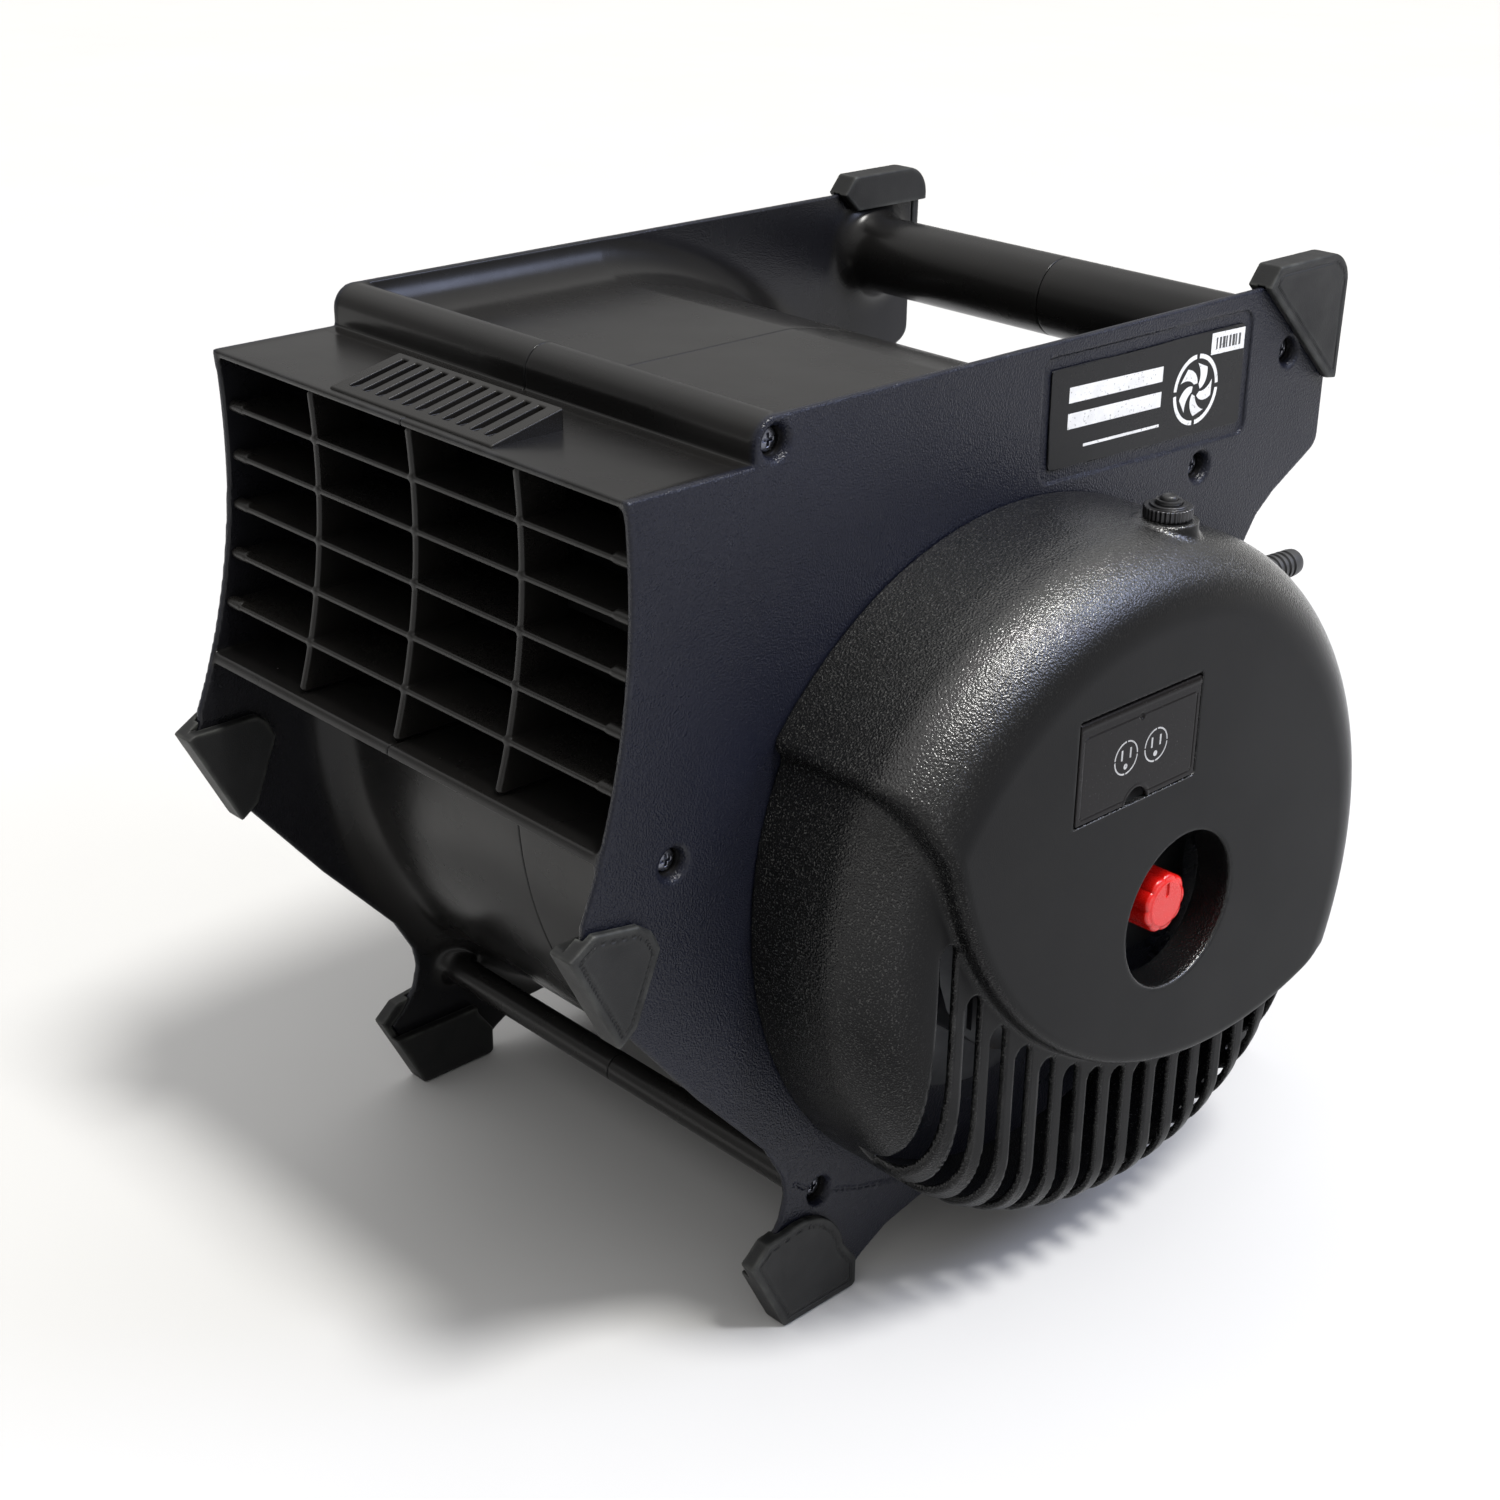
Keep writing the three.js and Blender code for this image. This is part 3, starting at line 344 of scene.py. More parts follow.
plate_points = [
    *mouth(209.5, ROOF_Z, 40), (-131.8, ROOF_Z), *arc(*FRONT_TUBE, FRONT_R, 180, 90, 16),
    *arc(186, TOP_Z - 9, 9, 90, 0, 12), *arc(187, 299, 8, 0, -62, 8), (166.8, 279), (156.3, 270.9),
    *scroll(4, 394.5, 338, 40), (156, 74), (170, 56), (back_y(42) - SOLE, 42), (back_y(3) - SOLE, SOLE),
    (143, SOLE), (128, 16), *scroll(4, 312, 257, 40), (-53.6, 17.1), (-68, 9.5), (-76, SOLE),
    (tilt_y(SOLE, SOLE), SOLE), (tilt_y(33, SOLE), 33), (-120.5, 37.8), (-113.3, 47.2), (-110.7, 57.4),
    (-112.2, 66.5), (-121.4, 83), (-155, 119.8), (-187.6, 159.6), (tilt_y(162.5, SOLE), 162.5),
    (tilt_y(199, SOLE), 199), (-207.6, 205),
]
plate = Outline(plate_points)
wall_out = Outline([*mouth(FLOOR_UNDER, ROOF_Z, 30), *scroll(0, 450, 152.6, 260)])
wall_in = Outline([(-230, ROOF_Z - WALL), *scroll(-WALL, 450, 150.6, 260), (-230, FLOOR)])


def cornered(points, radius, steps=8):
    """The outline with its corners rounded."""
    out = []
    for a, b, c in zip(np.roll(points, 1, 0), np.array(points, float), np.roll(points, -1, 0)):
        p = b + (a - b) * radius / np.linalg.norm(a - b)
        q = b + (c - b) * radius / np.linalg.norm(c - b)
        out += [tuple((1 - t) ** 2 * p + 2 * t * (1 - t) * b + t * t * q) for t in np.linspace(0, 1, steps)]
    return out


label_bed = Outline(cornered([(13, 314.5), (140, 310), (139, 360.5), (12, 362)], 6), 0.5, 12, soften=3)
CRACK = [(-106.4, 61.4), (-99.8, 56.5), (-86.5, 49.7), (-70.2, 43), (-46.3, 35.6)]


def groove(points, y, z):
    """Distance to an open line of points."""
    best = np.full(np.broadcast(y, z).shape, 1e3)
    for (a0, a1), (b0, b1) in zip(points, points[1:]):
        s0, s1 = b0 - a0, b1 - a1
        t = (((y - a0) * s0 + (z - a1) * s1) / (s0 * s0 + s1 * s1)).clip(0, 1)
        best = np.minimum(best, np.hypot(y - a0 - t * s0, z - a1 - t * s1))
    return best


def shell(right):
    """One half of the housing. The left one is made here too, and mirrored."""
    def field(x, y, z):
        edge = plate(y, z)
        outer, inner = wall_out(y, z), wall_in(y, z)
        flat = rounded(edge + 0 * x, slab(x, PLATE_IN, 124), 1.2)
        wall = soft_max(soft_max(outer, -inner, 1.2), x - INSIDE_PLATE, 1.0)
        # The wall meets the plate in a tight corner at the outlet and a wide fillet behind it.
        behind = np.maximum((y + 128) / 12, (222 - z) / 14).clip(0, 1)
        fillet = 3 + 17 * behind * behind * (3 - 2 * behind)
        d = np.where(outer > -1.5, soft_min(flat, wall, fillet), soft_min(flat, wall, 2.5))
        handle = np.maximum(ring_distance(y, z, *HANDLE) - HANDLE_R, x - INSIDE_PLATE)
        d = soft_min(d, handle, 13.0)
        front = np.maximum(ring_distance(y, z, *FRONT_TUBE) - FRONT_R, x - INSIDE_PLATE)
        web = np.maximum(rounded(slab(y, -131.8, -115.6), slab(z, 345, 357), 1.5), -inner)
        ledge = np.maximum(rounded(slab(y, -137.5, -115.6), slab(z, 345, 354.2), 0.8), -inner)
        d = soft_min(d, soft_min(soft_min(front, web, 3.0), ledge, 1.2), 1.6)
        low = np.maximum(ring_distance(y, z, *LOW_TUBE) - LOW_R, x - INSIDE_PLATE)
        d = soft_min(d, low, 7.0)
        if right:
            boss = np.minimum(*(ring_distance(y, z, *place) for place in BOSSES)) - BOSS_R
            d = soft_min(d, rounded(boss + 0 * x, slab(x, 102, 124), 3.0), 7.0)
        d = np.maximum(soft_max(d, edge, 0.8), rounded(edge + 0 * x, x - PLATE_OUT, 1.2))
        if right:
            for sy, sz in SCREWS.values():
                r = ring_distance(y, z, sy, sz)
                mouth_r = 4.7 + 2.2 * ((x - 115.5) / 4.5).clip(0, 1.4) ** 1.6
                d = soft_max(d, -soft_max(r - mouth_r, 113.2 - x, 1.5), 1.2)
            d = soft_max(d, -(ring_distance(y, z, 0, AXIS_Z) - 66), 1.0)
            d = soft_max(d, -soft_max(label_bed(y, z), 119.1 - x, 0.4), 1.0)
            d = soft_max(d, -(np.hypot(groove(CRACK, y, z), x - 120.1) - 0.75), 0.5)
        else:
            d = soft_max(d, -(ring_distance(y, z, 0, AXIS_Z) - 90), 1.0)
        return soft_max(d, 0.15 - x, 0.7)
    return field


shell_grid = (
    stretch((-0.4, 1.4, 0.3), (1.4, 92, 9), (92, 104, 1.7), (104, 122, 0.9)),
    stretch((-209, 201, 1.3)),
    stretch((0, 371, 1.3)),
)
housing_right = skin("shell_right", shell(True), *shell_grid, keep=0.4)
housing_left = skin("shell_left", shell(False), *shell_grid, mirror=True, keep=0.4)


# Ribbed ramp on the roof.
def vent(x, y, z):
    top = ROOF_Z + 0.6 + (y + 183) * 7 / 31
    d = soft_max(soft_max(slab(x, -47, 47), slab(y, -183, -152), 0.8), soft_max(z - top, ROOF_Z - 2 - z, 0.5), 0.9)
    pitch = 94 / 12
    across = np.abs((x / pitch + 0.5) % 1 - 0.5) * pitch
    slot = soft_max(soft_max(across - 1.8, slab(y, -178.5, -154.8), 0.8), ROOF_Z + 0.4 - z, 0.4)
    slot = np.maximum(slot, np.abs(x) - 5.45 * pitch)
    return soft_max(d, -slot, 0.8)


vent_pad = skin("vent_pad", vent, stretch((-48, 48, 0.35)), stretch((-185, -150, 0.5)),
                stretch((349.4, 362, 0.36)), eps=0.15)


# ------------------------------------------------------------------ outlet grille
DUCT = ROOF_Z - WALL - FLOOR
SLATS = [FLOOR + DUCT * i / 6 for i in range(1, 6)]


def grille(x, y, z):
    ax = np.abs(x)
    near = np.minimum(ax, np.abs(ax - 60))
    front = mouth_y(z)
    rib = rounded(near - 1.5, soft_max(front + 2.2 - y, y + 162.7, 1), 1.2)
    rib = np.maximum(rib, slab(z, FLOOR + 0.3, ROOF_Z - WALL - 0.3))
    d = rib + 0 * x
    for s in SLATS:
        f = float(mouth_y(s)) + 2
        slat = np.maximum(rounded(np.abs(z - s) - 1.2, slab(y, f, f + 26), 1.0), ax - 116.7)
        clip = rounded(ring_distance(y, z, f + 2.6, s) - 2.4, slab(ax, 108, 116.7), 0.8)
        d = soft_min(d, soft_min(slat, clip, 1.2), 1.4)
    return d


def grille_heights():
    """Grid heights, close together at each slat."""
    runs, last = [], FLOOR - 1
    for s in SLATS:
        runs += [(last, s - 3.6, 4), (s - 3.6, s + 3.6, 0.45)]
        last = s + 3.6
    return stretch(*runs, (last, ROOF_Z - WALL + 1, 4))


def grille_widths():
    """Grid widths, close together at each upright and at the ends."""
    runs, last = [(-118.2, -106.5, 0.8)], -106.5
    for centre in (-60, 0, 60):
        a, b = centre - 3.2, centre + 3.2
        runs += [(last, a, 7), (a, b, 0.45)]
        last = b
    return stretch(*runs, (last, 106.5, 7), (106.5, 118.2, 0.8))


grille_mesh = skin("grille", grille, grille_widths(), stretch((-196, -150, 0.8)), grille_heights(), eps=0.15)


# ------------------------------------------------------------------ motor cover
COVER_FACE, GRILLE_FACE, COVER_R = 195.0, 185.0, 154.5
KNOB_Y, KNOB_Z = 20.0, 164.7
DOOR = (-48.0, 20.5, 221.0, 261.2)
step_points = [(-230, 250), (-124, 250), (-118.5, 246), (-113.6, 235), *arc(60, 266, 173, 194, 292, 60),
               (150, 98), (230, 92), (230, 420), (-230, 420)]
raised_area = Outline(step_points, soften=10)
SLOT_COUNT, SLOT_FIRST, SLOT_PITCH, SLOT_WIDTH = 15, -98.8, 14.73, 8.4
BREAKER_X, BREAKER_Y = 167, 29
GLAND_X, GLAND_Z = 140, 256


def slot_top(y):
    """Centre of a slot's round upper end, just under the step."""
    drop = 266 - math.sqrt(175 ** 2 - (y - 60) ** 2) if y < 60 else 91 + 0.02 * (y - 60)
    return drop - 3 - SLOT_WIDTH / 2


def cover(x, y, z):
    r = ring_distance(y, z, 0, AXIS_Z)
    disc = r - COVER_R
    low_disc = soft_max(disc + 0.5, ring_distance(y, z, 26, 183) - 158, 14.0)
    raised = rounded(disc, x - COVER_FACE, 30.0)
    lower = rounded(low_disc, x - GRILLE_FACE, 30.0)
    area = raised_area(y, z)
    outer = soft_min(lower, soft_max(raised, area + 0 * x, 5.0), 3.0)
    d = soft_max(outer, -(outer + 3.0), 1.0)
    for i in range(SLOT_COUNT):
        sy = SLOT_FIRST + SLOT_PITCH * i
        top = slot_top(sy)
        if y.size > 1 and (y.max() < sy - 8 or y.min() > sy + 8):
            continue
        cut = np.where(z > top, ring_distance(y, z, sy, top), np.abs(y - sy)) - SLOT_WIDTH / 2
        deep = 150 + 18 * min(1.0, max(0.0, (sy + 75) / 60))
        d = soft_max(d, -np.maximum(cut, deep - x), 1.2)
    well = ring_distance(y, z, KNOB_Y, KNOB_Z)
    d = soft_min(d, rounded(well - 33.8, slab(x, 179, 193.5), 0.6), 0.8)
    d = soft_max(d, -np.maximum(well - 31.3, 170 - x), 1.6)
    window = rounded(rounded(slab(y, DOOR[0] - 0.15, DOOR[1] + 0.15), slab(z, DOOR[2] - 0.15, DOOR[3] + 0.3), 1.0),
                     188.5 - x, 0.3)
    d = soft_max(d, -window, 0.6)
    boss = ring_distance(x, y, BREAKER_X, BREAKER_Y)
    d = soft_min(d, rounded(boss - 11.5, slab(z, 298, 311), 0.8), 3.0)
    d = soft_max(d, -np.maximum(boss - 5.1, 290 - z), 0.8)
    entry = ring_distance(x, z, GLAND_X, GLAND_Z)
    d = soft_min(d, np.maximum(rounded(entry - 10, slab(y, 108, 128), 1.2), -(outer + 2.0)), 3.0)
    d = soft_max(d, -np.maximum(entry - 6.8, 84 - y), 0.8)
    return soft_max(d, 120.3 - x, 0.8)


cover_mesh = skin("cover", cover, stretch((119.2, 197, 1.3)), stretch((-135, 157, 1.3)), stretch((22, 314, 1.3)))


# ------------------------------------------------------------------ feet
FEET = {
    "front_upper": ([(tilt_y(201.5), 201.5), (-205.2, 208), (-186, 204.6), (-180, 200.4), (-176.2, 192.5),
                     (-187, 165.5), (tilt_y(159.8), 159.8)], (-230, -176, 150, 203)),
    "front_lower": ([(tilt_y(35.7), 35.7), (-123.3, 42.9), *arc(-106.5, 20, 25, 100, 8, 16), (-74.2, 13),
                     (-74.2, 1.5), (-75.7, 0), (-113.4, 0)], (-140, -70, -5, 27)),
    "rear_upper": ([(144.4, 368.1), (150.9, 376), (182, 376), *arc(back_y(364) - 13, 363, 13, 90, 0, 12),
                    (back_y(322), 322.5), (192, 323.5)], (140, 210, 360, 380)),
    "rear_lower": ([(191, 0), (back_y(34), 34), (182, 43), *arc(166, 20, 24, 75, 160, 12), (141.5, 13),
                    (141.5, 1.5), (143, 0)], (130, 200, -5, 27)),
}


def foot(outline, keep):
    shape = Outline(outline, step=0.4, reach=8)
    y0, y1, z0, z1 = keep

    def field(x, y, z):
        d = rounded(shape(y, z) + 0 * x, slab(x, 112, 123.5), 1.1)
        slot = np.maximum(plate(y, z) - 0.3, slab(x, 116.7, 120.3))
        outside = np.maximum(slab(y, y0, y1), slab(z, z0, z1))
        trim = np.maximum(x - 116.85, -outside)
        d = soft_max(soft_max(d, -slot, 0.5), -trim, 0.5)
        rim = np.abs(shape(y, z) + 3.4) - 0.35
        return soft_max(d, -np.maximum(rim, 123.2 - x), 0.35)
    return field


feet = {}
for place, (outline, keep) in FEET.items():
    span = np.array(outline)
    lo, hi = span.min(0) - 1.5, span.max(0) + 1.5
    grid = (stretch((111, 124.6, 0.7)), stretch((lo[0], hi[0], 0.8)), stretch((lo[1], hi[1], 0.8)))
    for side, flip in (("right", False), ("left", True)):
        feet[f"foot_{place}_{side}"] = skin(f"pad_{place}_{side}", foot(outline, keep), *grid, mirror=flip, eps=0.15)


# ------------------------------------------------------------------ controls
def knob(x, y, z):
    r, a = ring_distance(y, z, KNOB_Y, KNOB_Z), np.arctan2(z - KNOB_Z, y - KNOB_Y)
    rim = r - (11.3 + 1.0 * np.abs(np.cos(4.5 * a)) ** 0.7 - 0.25)
    grip = rounded(rim, slab(x, 170.7, 188.6), 1.6)
    cap = rounded(r - 9.6, slab(x, 185, 189), 1.0)
    stem = np.maximum(r - 3, slab(x, 160.5, 172))
    d = soft_min(soft_min(grip, cap, 0.8), stem, 1.0)
    mark = rounded(slab(y, KNOB_Y - 0.8, KNOB_Y + 0.8), slab(z, KNOB_Z + 3, KNOB_Z + 8.6), 0.5)
    return soft_max(d, -np.maximum(mark, 188.2 - x), 0.3)


knob_mesh = skin("knob", knob, stretch((160, 190, 0.45)), stretch((KNOB_Y - 13, KNOB_Y + 13, 0.4)),
                 stretch((KNOB_Z - 13, KNOB_Z + 13, 0.4)), eps=0.1)


def door(x, y, z):
    y0, y1, z0 = DOOR[0] + 0.3, DOOR[1] - 0.3, DOOR[2] + 0.3
    leaf = rounded(rounded(slab(y, y0, y1), slab(z, z0, 258.8), 1.2), slab(x, 193.2, 195), 0.4)
    hinge = np.maximum(ring_distance(x, z, 193.2, 258.8) - 1.8, slab(y, y0, y1))
    d = soft_min(leaf, hinge, 0.6)
    mid = (DOOR[0] + DOOR[1]) / 2
    pull = ring_distance(y, z, mid, DOOR[2] - 1)
    d = soft_max(d, -(pull - 6.6), 0.6)
    lip = rounded(slab(pull, 6.6, 7.9), slab(x, 193.2, 195.0), 0.4)
    d = soft_min(d, np.maximum(lip, z0 - z), 0.5)
    dimple = np.sqrt((y - mid) ** 2 + (z - 254.3) ** 2 + (x - 196) ** 2) - 1.7
    frame_line = np.abs(rounded(slab(y, y0 + 2.2, y1 - 2.2), slab(z, z0 + 2.2, 254.8), 1.5)) - 0.18
    d = soft_max(d, -np.maximum(frame_line, 194.85 - x), 0.15)
    return soft_max(d, -dimple, 0.3)


door_mesh = skin("door", door, stretch((190.8, 196, 0.32)), stretch((DOOR[0] - 0.4, DOOR[1] + 0.4, 0.5)),
                 stretch((DOOR[2] - 0.4, 261.4, 0.5)), eps=0.1)


def nut(x, y, z):
    u, v = x - BREAKER_X, y - BREAKER_Y
    r, a = np.hypot(u, v), np.arctan2(v, u)
    ridge = 9.15 - 0.45 * (0.5 - 0.5 * np.cos(32 * a))
    d = soft_min(rounded(r - ridge, slab(z, 311.3, 315.6), 0.5), rounded(r - 7, slab(z, 314, 316.6), 0.5), 0.4)
    return soft_max(d, 5.1 - r, 0.4)


nut_mesh = skin("ring_nut", nut, stretch((157, 177, 0.3)), stretch((19, 39, 0.3)), stretch((310.8, 317.6, 0.35)),
                eps=0.08)
thread = [(4.3, 303.5)]
for i in range(15):
    thread += [(4.35, 304 + i * 0.95), (4.85, 304.35 + i * 0.95), (4.85, 304.5 + i * 0.95)]
thread += [(4.3, 318), (3.65, 318), (3.65, 306), (0.01, 306), (0.01, 303.5)]
thread_mesh = turned("breaker_thread", thread, (BREAKER_X, BREAKER_Y, 0), "Z", 48, 50)
button_mesh = turned("reset_cap", [(0.01, 309.5), (3.3, 309.5), (3.3, 318), (3.15, 318.8), (2.7, 319.4), (1.9, 319.6),
                                   (1.4, 319.25), (0.01, 319.15)], (BREAKER_X, BREAKER_Y, 0), "Z", 48, 40)
boot = [(0.01, 108), (6.5, 108), (6.5, 128.1), (8.9, 128.4), (9.0, 132.6), (8.4, 133.2), (6.6, 133.3)]
for i in range(5):
    at = 134.4 + i * 3.6
    taper = 6.45 - i * 0.16
    boot += [(taper - 0.75, at), (taper - 0.75, at + 1.1), (taper, at + 1.5), (taper, at + 3.0)]
boot += [(5.7, 153.6), (5.4, 155.6), (4.6, 156.8), (3.7, 156.9), (3.55, 154.5), (0.01, 154.3)]
gland_mesh = turned("cable_boot", boot, (GLAND_X, 0, GLAND_Z), "Y", 48, 40)


def screw_field(x, y, z):
    r = np.hypot(y, z)
    dome = np.sqrt(r ** 2 + (x - 105.3) ** 2) - 10.6
    head = soft_max(rounded(r - 4.2, slab(x, 113.3, 116.4), 0.4), dome, 0.3)
    d = soft_min(head, np.maximum(r - 2, slab(x, 102.5, 114)), 0.4)
    blade = np.minimum(np.maximum(np.abs(y) - 0.55, np.abs(z) - 2.3), np.maximum(np.abs(z) - 0.55, np.abs(y) - 2.3))
    return soft_max(d, -np.maximum(blade, 114.3 - x), 0.25)


screw_grid = (stretch((102, 112, 1), (112, 116.8, 0.28)), stretch((-4.8, 4.8, 0.28)), stretch((-4.8, 4.8, 0.28)))
screw_meshes = {}
for node, (sy, sz) in SCREWS.items():
    field = lambda x, y, z, sy=sy, sz=sz: screw_field(x, y - sy, z - sz)
    grid = (screw_grid[0], screw_grid[1] + sy, screw_grid[2] + sz)
    screw_meshes[node] = skin(node.replace("housing_screw", "screw"), field, *grid, eps=0.08)


# ------------------------------------------------------------------ intake side
bellmouth = [(100, -120.3), (100, -121.9), (99.2, -122.8), (92, -122.8), (89, -122.4), (86.4, -120.6), (84.4, -117),
             (82.3, -111), (81, -105), (81, -94.2), (81.8, -94), (83.5, -94.2), (83.5, -105), (84.6, -111),
             (86.6, -116), (88.6, -118.6), (90.6, -120.3)]
ring_mesh = turned("inlet_ring", bellmouth, (0, 0, AXIS_Z), "X", 160, 35)
GUARD_BACK, GUARD_FRONT = -123.1, -133.6
spoke = Outline([(8, GUARD_FRONT), (83, GUARD_FRONT), (99, GUARD_BACK - 3.5), (96, GUARD_BACK - 0.2),
                 (94, GUARD_BACK - 0.2), (80, GUARD_FRONT + 3), (8, GUARD_FRONT + 3)], step=0.4, reach=8)


def guard(x, y, z):
    r, a = ring_distance(y, z, 0, AXIS_Z), np.arctan2(z - AXIS_Z, y)
    fold = np.abs(a / rad(45) % 1 - 0.5) * rad(45)
    across = r * np.sin(fold) + 0 * x
    arms = rounded(across - 1.5, spoke(r * np.cos(fold) + 0 * x, x + 0 * r), 0.8)
    d = rounded(slab(r, 93.5, 99.5), slab(x, GUARD_BACK - 4, GUARD_BACK), 0.9)
    for hoop in (30, 56, 80):
        d = soft_min(d, rounded(slab(r, hoop - 3, hoop), slab(x, GUARD_FRONT, GUARD_FRONT + 3), 1.1), 1.0)
    hub = rounded(r - 12, slab(x, GUARD_FRONT, GUARD_FRONT + 3), 0.9)
    return soft_min(soft_min(d, hub, 1.0), arms, 1.2)


guard_mesh = skin("inlet_guard", guard, stretch((-134.6, -122.2, 0.7)), stretch((-101, 101, 1.0)),
                  stretch((56, 258, 1.0)), eps=0.15)


# ------------------------------------------------------------------ nameplate and its marks
BADGE_FACE = 119.9
plate_shape = Outline(cornered([(17.1, 318.9), (135.9, 314.7), (134.9, 355.9), (16.1, 357.3)], 2), 0.35, 6, soften=2)
label_mesh = skin("badge", lambda x, y, z: rounded(plate_shape(y, z) + 0 * x, slab(x, 119.35, BADGE_FACE), 0.18),
                  stretch((119.1, 120.2, 0.18)), stretch((13, 139, 1.0)), stretch((312, 360, 1.0)), eps=0.08)


def decal(name, shapes, x, thick=0.06):
    """Thin raised marks: each shape is a closed list of (y, z)."""
    bm = bmesh.new()
    for points in shapes:
        base = [bm.verts.new((Vector((x, y, z)) + Vector(OFFSET)) / 1000) for y, z in points]
        face = bm.faces.new(base)
        lifted = bmesh.ops.extrude_face_region(bm, geom=[face])["geom"]
        bmesh.ops.translate(bm, verts=[v for v in lifted if isinstance(v, bmesh.types.BMVert)],
                            vec=(thick / 1000, 0, 0))
    bmesh.ops.recalc_face_normals(bm, faces=bm.faces)
    return finished(name, bm, 30)


def tilted(points):
    """Badge positions: u along the plate, v up it."""
    return [(17 + u, 319 + v - 0.034 * u) for u, v in points]


def bar(u0, u1, v0, v1):
    return tilted([(u0, v0), (u1, v0), (u1, v1), (u0, v1)])


def blade(cu, cv, turn, r0=2.6, r1=10.6):
    out = [(r0 + (r1 - r0) * t, turn + 52 * t) for t in np.linspace(0, 1, 12)]
    back = [(r0 + (r1 - r0) * t, turn + 50 - 6 * t + 44 * t) for t in np.linspace(1, 0, 12)]
    return tilted([(cu + r * math.cos(rad(a)), cv + r * math.sin(rad(a))) for r, a in out + back])


def sector(cu, cv, r0, r1, a0, a1, steps):
    """Part of a flat ring."""
    return arc(cu, cv, r1, a0, a1, steps - 1) + arc(cu, cv, r0, a1, a0, steps - 1)


FAN_MARK = (88, 18)
marks = [blade(*FAN_MARK, a) for a in (0, 72, 144, 216, 288)]
marks += [tilted(sector(*FAN_MARK, 12.4, 14.2, a + 4, a + 86, 24)) for a in (0, 90, 180, 270)]
marks += [bar(10, 66, 24.5, 30.5), bar(10, 66, 14.5, 20.5), bar(20, 66, 6.5, 7.6)]
mark_mesh = decal("badge_marks", marks, BADGE_FACE)
tag_mesh = decal("badge_tag", [bar(96, 117.6, 30.6, 39.2)], BADGE_FACE)
strokes = [bar(99 + i * 2.1, 99.9 + i * 2.1 + (i % 3) * 0.35, 32.6, 37.2) for i in range(8)]
tag_lines = decal("badge_tag_lines", strokes, BADGE_FACE + 0.07)


def socket_marks(y, z):
    """A generic sign for a socket: a ring, two slots and a round hole."""
    hole = arc(y, z - 3.4, 1.1, 0, 337.5, 15)
    ring = [sector(y, z, 6.0, 6.6, a + 3, a + 87, 14) for a in (0, 90, 180, 270)]
    slots = [[(y + d - 0.45, z - 0.6), (y + d + 0.45, z - 0.6), (y + d + 0.45, z + 3.4), (y + d - 0.45, z + 3.4)]
             for d in (-2.4, 2.4)]
    return [hole, *slots, *ring]


door_marks = decal("door_marks", socket_marks(-21.5, 240.5) + socket_marks(-4.5, 240.5), COVER_FACE, 0.05)


